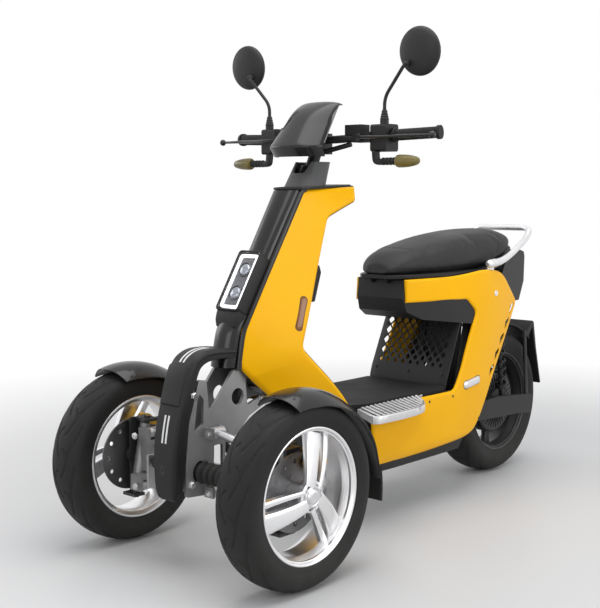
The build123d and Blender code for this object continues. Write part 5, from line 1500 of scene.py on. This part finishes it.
pair("mirror_glass", [on_mirror(turned(glass_line, (0, 0, 0), 72))], mirror_glass, "steering",
     "lamp_glass", crease=30)

# ---- Turn signals ----
# A bullet of smoked amber plastic on a ribbed neck, held by an angled bracket under each
# switch case.
signal_amber = finish("signal_amber", (0.085, 0.068, 0.018), 0.25, coat=0.25, uneven=0.06,
                      grain_size=0.0026, grain_depth=0.00012, cell_share=1.0,
                      tint=(0.18, 0.14, 0.035))
signal_at = np.array([0.0, 0.452, 1.045])
bullet_line = through([(0.2700, 0.0), (0.2702, 0.0135), (0.2740, 0.0165), (0.2860, 0.0173),
                       (0.3050, 0.0165), (0.3250, 0.0135), (0.3400, 0.0085), (0.3460, 0.0)], 60)
neck_reach = np.linspace(0.222, 0.271, 60)
neck_size = 0.0088 + 0.0016 * (np.sin((neck_reach - 0.222) / 0.049 * 2 * np.pi * 4) > 0.2)
neck_line = np.concatenate([[[0.222, 0.0]], np.stack([neck_reach, neck_size], 1),
                            [[0.271, 0.0]]])
arm_line = through([(0.198, 0.452, 1.0715), (0.199, 0.452, 1.058), (0.202, 0.452, 1.047),
                    (0.212, 0.452, 1.044), (0.230, 0.452, 1.0445)], 40)
pair("signal", [turned(bullet_line, signal_at, 48)], signal_amber, "steering", "amber_lens",
     whole=("turn_signals",), crease=50)
pair("signal_arm", [turned(neck_line, signal_at, 36),
                    carried(oblong(0.009, 0.0085, 0.004), arm_line, (0, 1, 0))],
     satin_black, "steering", "black_plastic", crease=35)

# ---- Instrument cowl ----
# A gloss black shield in front of the display. It leans back and rounds over at the top, has
# a creased band along its foot, a slanting vent on one side and a screw on the other.
cowl_mid = border([(0.3220, 1.0590), (0.3020, 1.0860), (0.3880, 1.1880), (0.4260, 1.2125),
                   (0.4480, 1.2150)], [0.01, 0.006, 0.03, 0.02, 0.01], 7, 14)
cowl_half = np.interp(cowl_mid[:, 1], [1.059, 1.086, 1.2155], [0.0890, 0.0915, 0.0680])
cowl_share = np.linspace(-1, 1, 61)[None]
cowl_bow = np.abs(cowl_share) ** 2.3
cowl_deep = np.interp(cowl_mid[:, 1], [1.059, 1.086, 1.15, 1.2155], [0.046, 0.050, 0.048,
                                                                     0.020])[:, None]


def cowl_surface(off):
    """Across, the cowl is a bow whose sides fall back by a power of the share of its half
    width; along, it follows the middle line. Off is the distance inside the outer face."""
    x = (cowl_half[:, None] - off) * np.sin(cowl_share * np.pi / 2 * 0.92) / math.sin(
        np.pi / 2 * 0.92)
    y = cowl_mid[:, :1] + cowl_deep * cowl_bow + off * 1.2
    z = cowl_mid[:, 1:] - 0.010 * cowl_bow * np.clip((cowl_mid[:, 1:] - 1.15) / 0.06, 0, 1)
    return np.stack([x, y, z - off * 0.4 * (cowl_mid[:, 1:] > 1.19)], -1)


vent_flat = ring(rounded([(-0.004, -0.024), (0.004, -0.022), (0.005, 0.022), (-0.003, 0.024)],
                         0.004, 4))
vent_up, vent_across = np.array([0.22, 0.62, 0.75]), np.array([0.90, -0.43, 0.0])
vent_points = (np.array([-0.047, 0.372, 1.146]) + vent_flat[:, :1] * vent_across
               + vent_flat[:, 1:] * vent_up)
vent_normal = np.cross(vent_across, vent_up)
piece("cowl_shell", shell(cowl_surface(0.0), cowl_surface(0.0028)), gloss_black, "steering",
      "screen", ("dash_cowl",), crease=30, bevel=0.0006,
      holes=[prism(vent_points, vent_normal * 0.02)])
piece("cowl_screw", [bolt((0.0470, 0.3555, 1.128), (0.45, -0.78, 0.42), 0.0032, 0.0025)], zinc,
      "steering", "steel", crease=20)
display_glass = finish("display_glass", (0.008, 0.009, 0.010), 0.06, coat=1.0, uneven=0.04,
                       grain_depth=0.0)
repaint(display_glass, "display")
